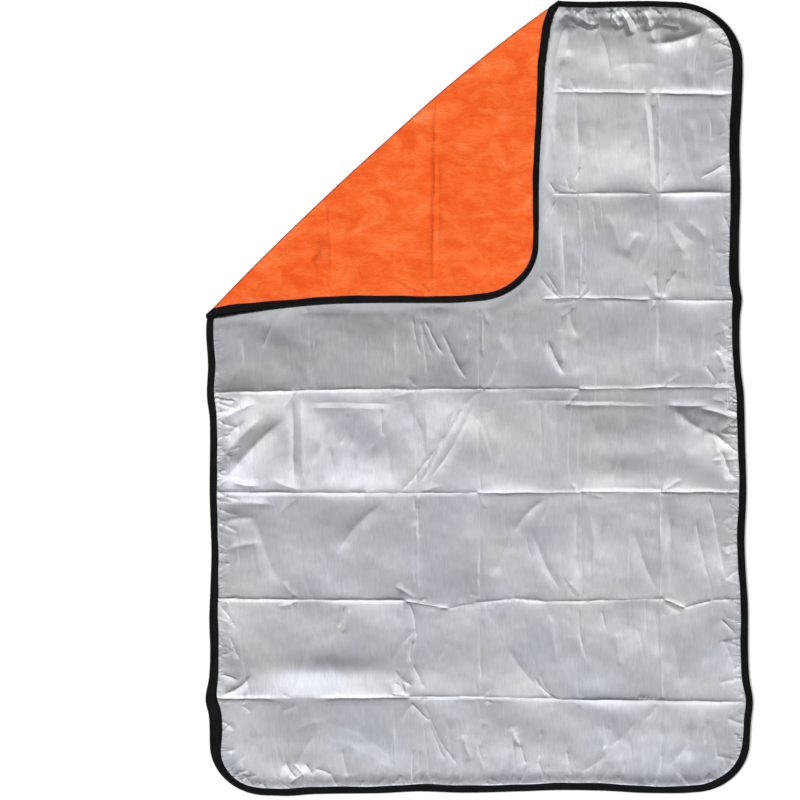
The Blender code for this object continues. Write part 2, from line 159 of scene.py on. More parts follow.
# How far each side of the blanket bows out past its nominal line, along that side.
LEFT_SIDE = table(
    Bow,
    (-0.800, 0.002), (-0.730, 0.004), (-0.690, 0.011), (-0.640, 0.004), (-0.580, 0.002), (-0.510, 0.004),
    (-0.440, 0.002), (-0.360, 0.000), (-0.290, 0.002), (-0.220, 0.004), (-0.060, 0.004), (0.000, 0.010),
    (0.070, 0.008), (0.145, 0.012), (0.190, 0.009),
)
FOOT_SIDE = table(
    Bow,
    (-0.430, 0.007), (-0.380, 0.008), (-0.330, 0.004), (-0.200, 0.002), (-0.120, -0.002), (-0.030, 0.001),
    (0.080, -0.002), (0.170, -0.005), (0.260, -0.003), (0.320, 0.001), (0.400, 0.002), (0.440, 0.000),
)
RIGHT_SIDE = table(
    Bow,
    (-0.790, 0.004), (-0.740, 0.007), (-0.695, 0.011), (-0.640, 0.004), (-0.580, 0.002), (-0.480, 0.002),
    (-0.400, -0.002), (-0.330, -0.004), (-0.220, 0.000), (-0.110, -0.002), (0.000, -0.004), (0.050, -0.009),
    (0.110, -0.012), (0.180, -0.011), (0.218, -0.007), (0.260, -0.012), (0.360, -0.012), (0.470, -0.009),
    (0.580, -0.010), (0.660, -0.006), (0.730, -0.003), (0.770, -0.003),
)
TOP_SIDE = table(
    Bow,
    (0.160, 0.004), (0.220, 0.002), (0.340, 0.004), (0.400, 0.002),
)

# The same for the two taped sides of the folded corner, and for the folded edge.
FLAP_FOOT_Y = 0.2115
FLAP_SIDE_X = 0.1215
FLAP_FOOT = table(
    Bow,
    (-0.545, 0.037), (-0.520, 0.031), (-0.483, 0.024), (-0.430, 0.016), (-0.341, 0.006), (-0.285, 0.002),
    (-0.200, 0.000), (-0.058, 0.000), (0.000, -0.004),
)
FLAP_SIDE = table(
    Bow,
    (0.350, 0.000), (0.400, 0.001), (0.470, 0.001), (0.545, 0.003), (0.615, 0.007), (0.690, 0.011),
    (0.762, 0.015), (0.842, 0.025), (0.872, 0.033), (0.895, 0.043),
)
FOLD_LINE = table(
    Bow,
    (0.000, -0.010), (0.100, -0.001), (0.230, 0.0075), (0.400, 0.015), (0.560, 0.0185), (0.680, 0.020),
    (0.800, 0.017), (0.910, 0.0105), (0.985, 0.003), (1.016, 0.000),
)

# How high the sheet stands where the packing folds cross: the columns' places, then a row a fold.
PANEL_COLUMNS = (-535, -362, -124, 4, 206, 367, 535)
PANEL_HEIGHTS = table(
    PanelHeights,
    (-900, 0.0, 0.0, 0.0, 0.0, 0.0, 0.0, 0.0), (-690, 0.8, 1.2, 1.0, 1.4, 1.0, 1.6, 0.5),
    (-465, 1.0, 1.8, 1.4, 2.6, 2.2, 3.0, 0.8), (-222, 0.2, -0.4, -0.2, 0.8, 5.6, 4.0, 0.8),
    (12, 4.6, 8.2, 7.8, 5.8, 2.8, 1.6, 0.8), (214, -3.0, -1.8, -1.2, -0.8, 1.4, 0.8, 0.8),
    (462, 0.0, 0.0, 0.0, 0.8, 1.2, 0.6, 0.8), (691, 0.0, 0.0, 0.0, 1.6, 6.6, 6.2, 2.2),
    (838, 0.0, 0.0, 0.0, 1.0, 6.4, 7.6, 0.8), (900, 0.0, 0.0, 0.0, 0.0, 0.0, 0.0, 0.0),
)

# The folds that packing left: across the blanket, then along it. A negative rise is a trough.
CROSS_FOLDS = table(
    Crease,
    (150, 693, 345, 691, 0, -0.8, 4.2), (349, 690, 531, 690, 0, -0.9, 4.4),
    (150, 461, 352, 462, 0, 0.5, 2.8), (366, 461, 525, 463, 0, 0.8, 3.6),
    (130, 222, 350, 219, 2, -0.6, 2.8), (350, 219, 524, 217, -2, 0.6, 2.8), (-537, 3, -372, 6, 0, 0.8, 3.0),
    (-378, 6, -122, 10, 2, 0.6, 2.6), (-128, 10, 208, 15, 0, 0.5, 2.6), (202, 15, 374, 19, -2, -0.7, 2.8),
    (368, 19, 525, 18, 0, -0.6, 2.8), (-535, -221, -225, -222, 0, 1.1, 4.0),
    (-235, -222, 4, -222, 0, 0.5, 2.8), (-4, -222, 210, -223, 0, -0.6, 2.8),
    (204, -221, 530, -220, 0, -0.7, 3.0), (-533, -463, -146, -467, 0, 0.9, 3.4),
    (-150, -467, -58, -486, 0, -0.6, 2.8), (-62, -486, 72, -464, 4, 0.4, 2.8),
    (68, -462, 142, -471, 0, 0.6, 2.8), (134, -470, 378, -464, 0, 0.5, 2.6),
    (373, -464, 418, -484, 0, -0.7, 2.8), (414, -484, 472, -466, 0, 0.6, 2.8),
    (468, -466, 532, -464, 0, 0.4, 2.6), (-533, -688, -135, -685, 0, -0.9, 3.0),
    (-143, -684, 168, -690, 2, 0.5, 2.8), (162, -691, 538, -696, 0, 0.5, 2.8),
)
LONG_FOLDS = table(
    Crease,
    (367, 860, 368, 690, 0, -0.4, 3.0), (367, 690, 369, 462, 0, -0.8, 2.6),
    (369, 462, 366, 219, 0, -0.5, 2.8), (366, 219, 368, 18, 0, 0.3, 3.4), (368, 18, 366, -222, 0, 0.4, 3.0),
    (366, -222, 367, -464, 0, -0.8, 3.2), (366, -464, 370, -692, 0, -0.5, 2.6),
    (370, -692, 368, -868, 0, 0.3, 2.6), (205, 690, 204, 462, 0, 0.3, 3.0),
    (204, 462, 208, 219, 0, -0.6, 2.8), (206, 15, 209, -222, 0, 0.3, 2.8),
    (209, -222, 210, -464, 0, 0.5, 3.0), (4, 200, 2, 15, 0, 0.5, 2.6), (3, 12, 5, -222, 0, 0.5, 2.6),
    (5, -222, 3, -464, 0, 0.5, 2.6), (3, -464, 6, -690, 0, 0.3, 2.6), (6, -690, 2, -860, 0, 0.3, 2.6),
    (-124, 14, -124, -222, 0, 0.3, 2.6), (-124, -222, -122, -464, 0, -0.3, 2.8),
    (-170, 180, -170, 14, 0, -0.5, 2.4), (-358, 175, -362, 8, 0, 0.2, 2.6),
)
FOLDS = CROSS_FOLDS + LONG_FOLDS

# The wrinkles that handling left.
WRINKLES = table(
    Crease,
    # top right panel
    (189, 859, 158, 704, -13, 0.7, 4.1), (189, 863, 250, 838, -13, 0.6, 2.7),
    (219, 886, 227, 850, 0, 0.6, 2.0), (248, 886, 250, 836, 0, 0.6, 2.0), (248, 829, 268, 722, 6, 0.6, 3.4),
    (352, 862, 360, 800, -4, -1.3, 7.0), (352, 798, 468, 838, -8, 2.6, 12.0),
    (372, 850, 412, 846, -4, -0.6, 4.0), (270, 876, 296, 836, -4, -2.0, 6.0),
    (292, 882, 313, 818, 3, -3.0, 6.0), (338, 882, 352, 830, 2, -2.2, 6.0),
    (268, 882, 272, 842, 0, 1.5, 3.6), (432, 832, 430, 700, -5, -1.3, 9.0),
    (320, 882, 327, 838, 2, 1.7, 4.2), (208, 874, 246, 846, -9, -1.2, 7.0),
    (232, 880, 238, 846, 0, 1.1, 5.0), (182, 850, 178, 770, 4, 1.1, 8.0), (178, 770, 150, 706, 3, 0.8, 7.0),
    (460, 836, 440, 704, -6, 0.7, 2.7), (483, 818, 462, 704, -6, -0.6, 2.7),
    (262, 748, 380, 756, 5, 0.35, 9.0), (298, 882, 329, 818, 6, 0.6, 2.7),
    (366, 688, 526, 687, 0, -0.9, 8.0),
    # second panel down
    (366, 463, 524, 465, 0, 1.0, 8.0), (215, 463, 345, 464, 0, 0.6, 7.0), (350, 690, 358, 480, 3, 1.4, 5.5),
    (337, 684, 352, 500, 3, -0.9, 4.4), (200, 684, 206, 540, 2, 0.8, 9.0),
    (179, 503, 187, 464, 0, 0.7, 2.0), (144, 489, 161, 459, 0, 0.6, 2.0), (197, 493, 211, 521, 2, 0.6, 2.0),
    (430, 635, 440, 530, 4, -0.7, 8.0), (466, 658, 477, 576, 2, 0.5, 3.4),
    (450, 496, 503, 532, -2, 0.6, 2.7), (493, 658, 513, 601, 2, 0.4, 2.7),
    # third panel down
    (158, 445, 136, 393, 0, 0.6, 2.7), (181, 443, 173, 361, 2, 0.6, 2.4), (197, 452, 205, 416, 0, 0.5, 2.0),
    (205, 379, 201, 226, 2, 0.8, 2.7), (221, 370, 217, 233, 2, 0.5, 2.7), (233, 445, 242, 361, 0, 0.5, 2.7),
    (260, 418, 284, 315, 6, -0.8, 9.0), (329, 375, 298, 311, -4, -0.8, 8.0),
    (361, 452, 363, 224, 2, 0.9, 3.4), (385, 402, 428, 318, -8, -0.6, 8.0),
    (428, 330, 418, 262, -4, -0.6, 6.0), (396, 397, 442, 347, -4, 0.4, 7.0),
    (477, 361, 464, 233, 4, 0.6, 2.7), (136, 281, 169, 222, 2, 0.6, 2.7), (398, 283, 375, 219, 2, 0.4, 3.4),
    (495, 418, 521, 338, 2, 0.4, 2.7), (125, 277, 167, 221, -5, 0.6, 3.2),
    (143, 257, 166, 221, -2, 0.4, 2.4), (170, 382, 176, 228, 2, 0.7, 2.6),
    (214, 377, 204, 229, 3, 0.6, 3.0), (214, 262, 196, 222, 4, 0.5, 2.6), (228, 246, 204, 220, 4, 0.4, 2.6),
    (356, 284, 366, 223, 2, 0.7, 4.0), (405, 287, 374, 223, -4, 0.7, 4.2),
    (388, 268, 375, 222, -2, 0.5, 2.6), (418, 400, 470, 346, 6, -0.45, 9.0),
    # below the flap
    (-405, 194, -437, 103, -2, 0.7, 2.7), (-395, 196, -411, 164, 0, 0.5, 2.0),
    (-328, 155, -338, 18, 2, 0.6, 2.7), (-322, 133, -330, 18, 0, 0.4, 2.0),
    (-133, 185, -115, 85, -2, 0.6, 2.4), (-109, 176, -70, 89, -2, 0.7, 2.7),
    (-73, 151, -22, 32, -4, 1.0, 3.1), (-113, 155, -101, 39, 0, 0.5, 2.4), (-6, 208, -32, 73, 2, 0.6, 2.7),
    (7, 201, 9, 82, 0, -0.7, 2.0), (55, 155, 19, 21, 4, 0.6, 2.7), (120, 144, 122, 119, 0, 0.4, 2.0),
    (140, 130, 177, 43, -4, 1.0, 6.0), (144, 124, 176, 46, -4, 0.4, 2.7),
    (186, 212, 204, 128, -6, 1.0, 8.0), (203, 130, 201, 39, 0, 0.6, 7.0), (358, 212, 346, 40, 9, -0.9, 9.0),
    (366, 214, 372, 60, 0, 0.6, 8.0), (483, 105, 501, 50, 2, -1.2, 7.0), (460, 69, 481, 34, 0, 0.8, 2.7),
    # below the middle fold
    (-384, -50, -522, -208, -6, 2.9, 15.0), (-428, -46, -530, -164, -6, -1.3, 11.0),
    (-446, -20, -520, -60, -4, -0.8, 6.0), (-470, -60, -510, -88, 4, 0.7, 4.0),
    (-376, -4, -374, -212, 2, 1.9, 6.0), (-354, -8, -352, -212, -4, -1.4, 7.0),
    (-344, -20, -170, -24, 2, 0.3, 4.0), (-344, -32, -190, -35, 2, -0.25, 4.0),
    (-322, -60, -324, -212, 4, -0.6, 9.0), (-262, -40, -280, -120, 3, 0.7, 4.0),
    (-242, -36, -262, -130, 3, 0.5, 7.0), (-196, -30, -192, -100, 0, 0.6, 4.0),
    (-300, -118, -292, -206, 3, 0.6, 6.0), (-250, -130, -254, -210, 2, 0.6, 5.0),
    (-212, -116, -218, -208, 2, 0.5, 6.0), (-186, -90, -176, -206, 2, 0.5, 5.0),
    (-420, -190, -350, -216, -4, -0.5, 7.0), (-500, -196, -440, -206, -4, -0.8, 6.0),
    (-46, -25, -121, -206, 6, 0.8, 3.1), (-10, -14, -97, -190, 8, 0.7, 2.7),
    (-32, -30, -83, -119, 2, 0.7, 2.7), (-83, -119, -160, -224, 2, 0.6, 3.1),
    (-119, -96, -125, -201, 0, 0.5, 2.0), (0, 0, 0, -192, 0, 0.4, 2.6), (124, -14, 128, -155, 2, 0.5, 2.4),
    (136, -5, 130, -164, 2, -0.4, 2.4), (60, -14, 359, -18, 2, 0.3, 4.0),
    (150, -24, 372, -27, 2, -0.5, 4.4), (491, -123, 515, -192, -2, 0.8, 3.4),
    (372, -20, 470, -22, -4, -0.8, 6.0), (398, -26, 462, -84, -8, 1.2, 11.0),
    (452, -80, 516, -122, 4, 1.2, 9.0), (496, -126, 522, -196, -5, 1.0, 7.0),
    (440, -30, 528, -60, 6, -1.0, 6.0), (500, -34, 526, -40, 0, 1.0, 4.0),
    # sixth panel down
    (-518, -248, -406, -250, 4, -0.8, 7.0), (-524, -292, -440, -280, 6, 1.0, 12.0),
    (-452, -262, -396, -440, -6, 1.1, 15.0), (-512, -352, -431, -336, 4, -0.8, 10.0),
    (-188, -240, -290, -370, -10, 1.3, 13.0), (-120, -232, -128, -300, 2, 0.6, 6.0),
    (-129, -224, -127, -263, 0, 0.6, 2.0), (-121, -256, -119, -327, 0, 0.4, 2.0),
    (0, -260, 0, -409, 0, 0.3, 2.4), (142, -232, 64, -330, -10, 0.9, 8.0),
    (62, -320, 26, -416, 2, 0.7, 9.0), (108, -300, 172, -452, -8, 0.7, 6.0),
    (136, -254, 126, -304, 0, 0.5, 2.0), (98, -324, 106, -372, 0, 0.4, 2.0),
    (207, -236, 205, -440, -7, 1.2, 8.0), (222, -244, 230, -443, 6, -0.5, 5.0),
    (316, -300, 364, -452, -7, 0.9, 8.0), (385, -228, 388, -455, 2, 1.4, 9.0),
    (352, -240, 348, -330, 2, -0.9, 8.0), (440, -279, 466, -413, -4, 0.6, 3.4),
    (466, -233, 481, -304, 0, 0.5, 2.7),
    # seventh panel down
    (-141, -471, -127, -553, 6, 0.7, 2.7), (-127, -553, -133, -610, -6, 0.7, 2.7),
    (-133, -610, -111, -669, 2, 0.7, 2.7), (-168, -624, -145, -685, 2, 0.6, 2.4),
    (-269, -477, -285, -532, 2, 0.6, 2.7), (-259, -482, -275, -544, 2, -0.5, 2.7),
    (-522, -475, -482, -539, 2, 0.6, 2.7), (-500, -546, -480, -601, -2, 0.6, 2.7),
    (-522, -635, -482, -649, 2, 0.6, 2.7), (-455, -630, -518, -681, 10, 1.2, 5.0),
    (-480, -690, -138, -688, 0, -0.9, 13.0), (-160, -640, -132, -660, 0, 0.8, 4.0),
    (-172, -652, -148, -676, 4, 0.9, 4.0), (-176, -676, -138, -682, 0, -0.8, 3.4),
    (361, -471, 363, -600, 0, 0.9, 8.0), (356, -484, 326, -612, -6, -0.6, 8.0),
    (162, -692, 536, -697, 0, 1.2, 10.0), (203, -482, 217, -601, -4, 0.6, 2.7),
    (185, -471, 183, -555, 0, 0.5, 2.7), (248, -487, 258, -537, 0, 0.5, 2.7),
    (11, -505, 4, -646, 2, 0.6, 2.7), (55, -562, 126, -669, -6, 0.45, 7.0),
    (112, -640, 160, -690, -6, 0.5, 2.8), (124, -630, 146, -680, -3, 0.5, 2.6),
    (207, -646, 209, -685, 0, 0.5, 2.0), (487, -509, 521, -548, 2, 0.6, 2.7),
    (493, -553, 517, -626, 2, 0.4, 3.4),
    # panel at the foot
    (-464, -676, -476, -703, 0, 0.6, 2.7), (-476, -703, -455, -719, 0, 0.5, 2.7),
    (-401, -690, -405, -726, 0, 0.5, 2.0), (-392, -790, -300, -740, 16, -0.3, 12.0),
    (-330, -776, -150, -868, 14, -0.15, 10.0), (-300, -742, -166, -836, 14, 0.14, 10.0),
    (-170, -751, -170, -841, 0, -0.6, 2.4), (-402, -872, -392, -836, 2, 0.9, 3.2),
    (-390, -832, -366, -868, -2, 0.9, 3.4), (-374, -836, -350, -866, 3, -0.8, 3.2),
    (-352, -834, -334, -862, 2, 0.9, 3.2), (-330, -846, -296, -862, 3, 0.7, 3.4),
    (-380, -880, -340, -852, 3, -0.9, 4.0), (-300, -850, -284, -886, 0, 0.7, 3.0),
    (-276, -800, -262, -868, 0, 0.7, 4.0), (-137, -694, -97, -740, -2, 0.6, 2.7),
    (-97, -740, -64, -829, -4, 0.6, 2.7), (-107, -699, -40, -841, -8, 0.6, 3.1),
    (-131, -802, -133, -875, 0, 0.6, 2.0), (-117, -802, -123, -875, 0, 0.5, 2.0),
    (11, -742, 0, -795, 2, 0.6, 2.7), (0, -795, 11, -834, -2, 0.6, 2.7), (75, -761, 43, -866, 2, -0.8, 4.1),
    (79, -767, 98, -841, -2, 0.6, 2.7), (128, -756, 120, -827, 2, 0.6, 2.7),
    (120, -827, 132, -866, 0, 0.6, 2.7), (177, -802, 187, -863, 0, 0.6, 2.7),
    (262, -745, 250, -806, 2, 0.6, 2.7), (322, -730, 258, -800, 6, 0.35, 7.0),
    (268, -800, 196, -858, 6, 0.4, 8.0), (452, -726, 372, -850, 8, 0.4, 8.0),
    (66, -750, 88, -800, -4, -0.9, 6.0), (462, -733, 456, -795, 0, 0.5, 2.7),
    (369, -802, 349, -886, 2, 0.6, 3.4), (296, -825, 280, -875, 0, 0.6, 2.7),
)
# Places where a panel swells up.
SWELLS = table(
    Swell,
    (300, 790, 120, 40, 3.0), (440, 570, 80, 90, 2.2), (270, 580, 70, 90, 1.2), (290, 340, 90, 90, 2.2),
    (450, 330, 70, 90, 1.4), (-250, 100, 120, 70, 2.0), (280, 110, 70, 70, 1.6), (440, 110, 60, 60, 1.5),
    (-420, -110, 90, 90, 2.6), (-240, -132, 110, 64, 4.5), (-492, -12, 48, 32, 7.0),
    (100, -110, 90, 90, 1.8), (462, -94, 88, 46, 5.5), (286, -100, 80, 44, 6.5), (286, -178, 80, 36, 6.0),
    (-470, -330, 60, 90, 2.0), (-250, -340, 90, 80, 1.5), (100, -350, 90, 90, 1.5),
    (280, -350, 80, 90, 2.0), (450, -350, 70, 90, 1.4), (-300, -628, 150, 30, 5.5),
    (-60, -580, 80, 80, 1.6), (110, -580, 90, 80, 1.4), (290, -580, 70, 90, 1.6), (450, -590, 80, 80, 2.2),
    (-372, -838, 44, 18, 2.4), (-200, -780, 100, 70, 1.8), (60, -780, 100, 70, 2.6),
    (300, -780, 90, 70, 2.0),
)
# The creases of the folded corner.
FLAP_CREASES = table(
    Crease,
    (-84, 690, -91, 222, 0, -2.2, 2.2), (-98, 600, -103, 330, 4, 0.7, 6.0),
    (-79, 560, -80, 300, 0, 0.8, 3.0), (-180, 246, -150, 252, 3, 1.0, 2.4),
    (-150, 252, -118, 236, 3, -0.9, 2.6), (-128, 262, -98, 228, 4, 0.9, 2.4),
    (-344, 292, -316, 330, 2, 2.2, 5.0), (-372, 276, -322, 294, 4, 1.8, 4.4),
    (-384, 272, -350, 300, 3, -1.0, 3.0), (-310, 266, -300, 236, 0, 1.0, 2.4),
    (-60, 240, -20, 246, 3, 0.8, 2.6), (-20, 640, 40, 655, 5, 0.9, 2.6), (20, 430, 58, 446, 4, 0.9, 4.0),
    (-300, 366, -180, 372, 8, 0.6, 3.0), (-230, 330, -120, 318, -6, -0.6, 3.0),
    (-60, 520, 60, 512, 4, 0.6, 3.4), (-170, 470, -100, 480, 4, -0.6, 3.0),
    (-318, 456, -306, 400, 3, 1.2, 2.4), (-306, 430, -298, 250, 4, -0.8, 2.6),
    (-312, 398, -290, 372, 3, 1.0, 2.4), (-84, 634, 122, 638, 0, 0.9, 3.0),
    (-70, 610, 20, 664, 6, 0.6, 4.0), (-316, 364, -368, 268, 6, 1.0, 6.0),
    (-330, 300, -392, 262, 0, 0.8, 5.0), (-350, 330, -300, 350, 4, 0.8, 5.0),
    (-200, 262, -140, 236, 8, 0.8, 4.0), (-180, 268, -112, 240, 8, -0.6, 4.0),
    (24, 440, 62, 462, 0, 0.6, 5.0), (-60, 300, -40, 236, 0, 0.6, 4.0), (-250, 300, -232, 244, 2, 0.5, 5.0),
)

# Uneven ground under the creases, in metres.
BROAD_WAVES = Waves(7, 22, 0.090, 0.240, 0.0007)
FINE_WAVES = Waves(11, 40, 0.022, 0.050, 0.00006)
FLAP_WAVES = Waves(5, 24, 0.060, 0.200, 0.0010)

# Soft creases across each panel from fold to fold, along each fold, and short ones at the crossings.
SLACK_SEED = 4
SLACK_PER_PANEL = 4
SHOULDER_SPACING = 90
SHORTEST_SHOULDER = 0.4
CROSSING_CREASES = 2

# Short creases that run in from the tape, closer and longer at some places.
PUCKER_SEED = 21
PUCKER_OVERLAP = 4
PUCKER_TURN = 1.0
PUCKER_STRENGTH = 0.65
PLAIN_PUCKERS = Puckers(0, 0, 0, 19, 22, 0.3)
PUCKERS = table(
    Puckers,
    (-548, 90, 80, 16, 26, 0.3), (-548, -120, 140, 10, 34, 0.7), (-545, -380, 130, 12, 30, 0.5),
    (-545, -640, 130, 13, 34, 0.6), (-470, -860, 130, 11, 32, 0.6), (300, 890, 170, 10, 38, 1.0),
    (500, 830, 110, 13, 30, 0.5), (530, 320, 110, 12, 30, 0.4), (530, 90, 90, 12, 30, 0.5),
    (530, -60, 100, 10, 36, 0.9), (540, -320, 140, 12, 28, 0.5), (540, -590, 130, 13, 28, 0.4),
    (500, -850, 120, 12, 28, 0.5), (0, -900, 260, 12, 28, 0.5),
)
FLAP_PUCKERS = Puckers(0, 0, 0, 11, 24, 0.6)

# Finer crinkles by the tape are left to the foil's look: they run in this far.
CRINKLE_START = 0.011
CRINKLE_REACH = 0.030
CRINKLE_FADE = 1.5

# Where the tape is wider or narrower than TAPE_WIDTH.
WIDENINGS = table(
    Widening,
    (545, 690, 230, 7.5), (545, 440, 250, 5.5), (540, 250, 160, 4.0), (-548, -745, 150, 11.0),
    (-545, -560, 220, 3.5), (-500, 850, 900, -2.6),
)


def smooth(value):
    value = np.clip(value, 0.0, 1.0)
    return value * value * (3 - 2 * value)


def unit(vectors):
    return vectors / np.linalg.norm(vectors, axis=-1, keepdims=True)


def bow_at(rows, at):
    """A smooth curve through the rows of a side, flat past its ends."""
    places, outs = np.array(rows).T
    at = np.clip(at, places[0], places[-1])
    start = np.clip(np.searchsorted(places, at) - 1, 0, len(places) - 2)
    end = start + 1
    before = np.maximum(start - 1, 0)
    after = np.minimum(start + 2, len(places) - 1)
    span = places[end] - places[start]
    share = (at - places[start]) / span
    slope_start = (outs[end] - outs[before]) / (places[end] - places[before]) * span
    slope_end = (outs[after] - outs[start]) / (places[after] - places[start]) * span
    curve = outs[start] + (outs[end] - outs[start]) * smooth(share)
    return curve + share * (1 - share) * (slope_start * (1 - share) - slope_end * share)


def steps(start, end, size):
    """Evenly spaced values from start up to, and without, the end."""
    return np.linspace(start, end, max(1, round(abs(end - start) / size)), endpoint=False)


def arc(centre, radius, start_degrees, turn_degrees):
    """Evenly spaced points on an arc, without its end."""
    count = round(radius * math.radians(abs(turn_degrees)) / EDGE_STEP)
    angles = np.radians(np.linspace(start_degrees, start_degrees + turn_degrees, count, endpoint=False))
    return np.array(centre) + radius * np.column_stack((np.cos(angles), np.sin(angles)))


def fold_place(points):
    """Distance along the folded edge, and past the line where the sheet starts to bend."""
    offset = points - FOLD_START
    along = offset @ FOLD_ALONG
    return along, offset @ FOLD_OUT - bow_at(FOLD_LINE, along) + FOLD_SETBACK


def fold_point(along, past):
    """The flat points at these distances from the folded edge's start."""
    along = np.asarray(along, float)
    out = bow_at(FOLD_LINE, along) - FOLD_SETBACK + past
    return FOLD_START + along[..., None] * FOLD_ALONG + np.asarray(out)[..., None] * FOLD_OUT


def unfold(points):
    """The flat points that lie at these places once the flap is folded over."""
    along, past = fold_place(points)
    return fold_point(along, BEND_LENGTH - past)


def outline_side(rows, line, out, upright):
    """A function that gives the points of one side at places along it."""
    def points(at):
        bowed = line + out * bow_at(rows, at)
        return np.column_stack((bowed, at) if upright else (at, bowed))
    return points


left_points = outline_side(LEFT_SIDE, -HALF_WIDTH, -1, True)
foot_points = outline_side(FOOT_SIDE, -HALF_LENGTH, -1, False)
right_points = outline_side(RIGHT_SIDE, HALF_WIDTH, 1, True)
top_points = outline_side(TOP_SIDE, HALF_LENGTH, 1, False)
flap_foot_points = outline_side(FLAP_FOOT, FLAP_FOOT_Y, -1, False)
flap_side_points = outline_side(FLAP_SIDE, FLAP_SIDE_X, 1, True)


def lying_edge():
    """The outer edge where the blanket lies flat, from the fold's left end round to its right end."""
    radius, top_radius = CORNER_RADIUS, TOP_CORNER_RADIUS
    left, foot = left_points([-HALF_LENGTH])[0, 0], foot_points([-HALF_WIDTH])[0, 1]
    right, foot_right = right_points([-HALF_LENGTH])[0, 0], foot_points([HALF_WIDTH])[0, 1]
    right_top, top = right_points([HALF_LENGTH])[0, 0], top_points([HALF_WIDTH])[0, 1]
    return np.concatenate((
        left_points(steps(FOLD_START[1] - SIDE_OVERLAP, foot + radius, EDGE_STEP)),
        arc((left + radius, foot + radius), radius, 180, 90),
        foot_points(steps(left + radius, right - radius, EDGE_STEP)),
        arc((right - radius, foot_right + radius), radius, 270, 90),
        right_points(steps(foot_right + radius, top - top_radius, EDGE_STEP)),
        arc((right_top - top_radius, top - top_radius), top_radius, 0, 90),
        top_points(steps(right_top - top_radius, FOLD_END[0] + SIDE_OVERLAP, EDGE_STEP)),
    ))


def flap_edge():
    """The flap's outer edge as it lies folded over, from the fold's right end to its left end."""
    radius = FLAP_CORNER_RADIUS
    corner_x = flap_side_points([FLAP_SIDE[0].along])[0, 0]
    corner_y = flap_foot_points([0.0])[0, 1]
    return np.concatenate((
        flap_side_points(steps(FLAP_SIDE[-1].along - EDGE_STEP, corner_y + radius, EDGE_STEP)),
        arc((corner_x - radius, corner_y + radius), radius, 0, -90),
        flap_foot_points(steps(corner_x - radius, FLAP_FOOT[0].along, EDGE_STEP)),
    ))


def meeting(side_points, first, last):
    """How far along the fold a side of the blanket reaches the line where the sheet starts to bend."""
    along, past = fold_place(side_points(np.linspace(first, last, MEETING_STEPS)))
    return along[np.argmin(np.abs(past))]


def bend_crossing(along_start, along_end):
    """The edge's flat points where it crosses the bend of the folded edge."""
    share = np.linspace(0, 1, BEND_STEPS + 1)
    return fold_point(along_start + (along_end - along_start) * share, BEND_LENGTH * share)


def point_tree(points):
    """A search tree of flat points."""
    tree = kdtree.KDTree(len(points))
    for index, (x, y) in enumerate(points):
        tree.insert((x, y, 0), index)
    tree.balance()
    return tree


def lengths_along(points):
    """How far along a line each of its points is."""
    return np.concatenate(([0], np.cumsum(np.linalg.norm(np.diff(points, axis=0), axis=1))))


def inward_leads(points, closed=True):
    """The unit vector that leads in from each edge point, smoothed along the edge."""
    run = np.roll(points, -1, axis=0) - np.roll(points, 1, axis=0)
    if not closed:
        run[0], run[-1] = points[1] - points[0], points[-1] - points[-2]
    inward = unit(np.column_stack((-run[:, 1], run[:, 0])))
    for _ in range(LEAD_SMOOTHING if closed else 0):
        inward = unit(np.roll(inward, 1, axis=0) + 2 * inward + np.roll(inward, -1, axis=0))
    return inward


def whole_edge():
    """The whole outer edge as flat points, in order."""
    right_end = fold_place(flap_side_points([FLAP_SIDE[-1].along]))[0][0]
    left_end = fold_place(flap_foot_points([FLAP_FOOT[0].along]))[0][0]
    top_meeting = meeting(top_points, FOLD_END[0] + MEETING_REACH, FOLD_END[0] - MEETING_REACH)
    left_meeting = meeting(left_points, FOLD_START[1] - MEETING_REACH, FOLD_START[1] + MEETING_REACH)
    return np.concatenate((
        lying_edge(), bend_crossing(top_meeting, right_end), unfold(flap_edge()),
        bend_crossing(left_meeting, left_end)[::-1],
    ))


class Outline:
    """A closed outline, with distances to it and a test for what lies inside."""

    def __init__(self, points):
        self.points = points
        self.tree = point_tree(points)

    def to_stretch(self, points, starts, ends):
        run = ends - starts
        share = ((points - starts) * run).sum(axis=1) / np.maximum((run * run).sum(axis=1), TINY)
        return np.linalg.norm(points - starts - run * np.clip(share, 0, 1)[:, None], axis=1)

    def nearest(self, points):
        return np.array([self.tree.find((x, y, 0))[1] for x, y in points], dtype=int)

    def distance(self, points):
        nearest = self.nearest(points)
        here = self.points[nearest]
        before = self.points[nearest - 1]
        after = self.points[(nearest + 1) % len(self.points)]
        return np.minimum(self.to_stretch(points, before, here), self.to_stretch(points, here, after))

    def inside(self, points):
        x, y = points.T
        crossings = np.zeros(len(points), bool)
        for start, end in zip(np.roll(self.points, 1, axis=0), self.points):
            if start[1] != end[1]:
                spans = (start[1] > y) != (end[1] > y)
                slope = (end[0] - start[0]) / (end[1] - start[1])
                crossings ^= spans & (start[0] + (y - start[1]) * slope > x)
        return crossings


def crease_line(crease):
    """A crease's start, unit direction, unit side vector and length."""
    start = np.array((crease.x0, crease.y0)) * MM
    run = np.array((crease.x1, crease.y1)) * MM - start
    length = np.linalg.norm(run)
    along = run / length
    return start, along, np.array((-along[1], along[0])), length


def ripple(crease, share, long, short):
    """An uneven wave along a crease, from -1 to 1, in its own phase."""
    place = share * math.hypot(crease.x1 - crease.x0, crease.y1 - crease.y0)
    first = place / long + (crease.x0 * LONG_PHASE[0] + crease.y0 * LONG_PHASE[1])
    second = place / short + (crease.x1 * SHORT_PHASE[0] + crease.y1 * SHORT_PHASE[1])
    return LONG_SHARE * np.sin(2 * math.pi * first) + (1 - LONG_SHARE) * np.sin(2 * math.pi * second)


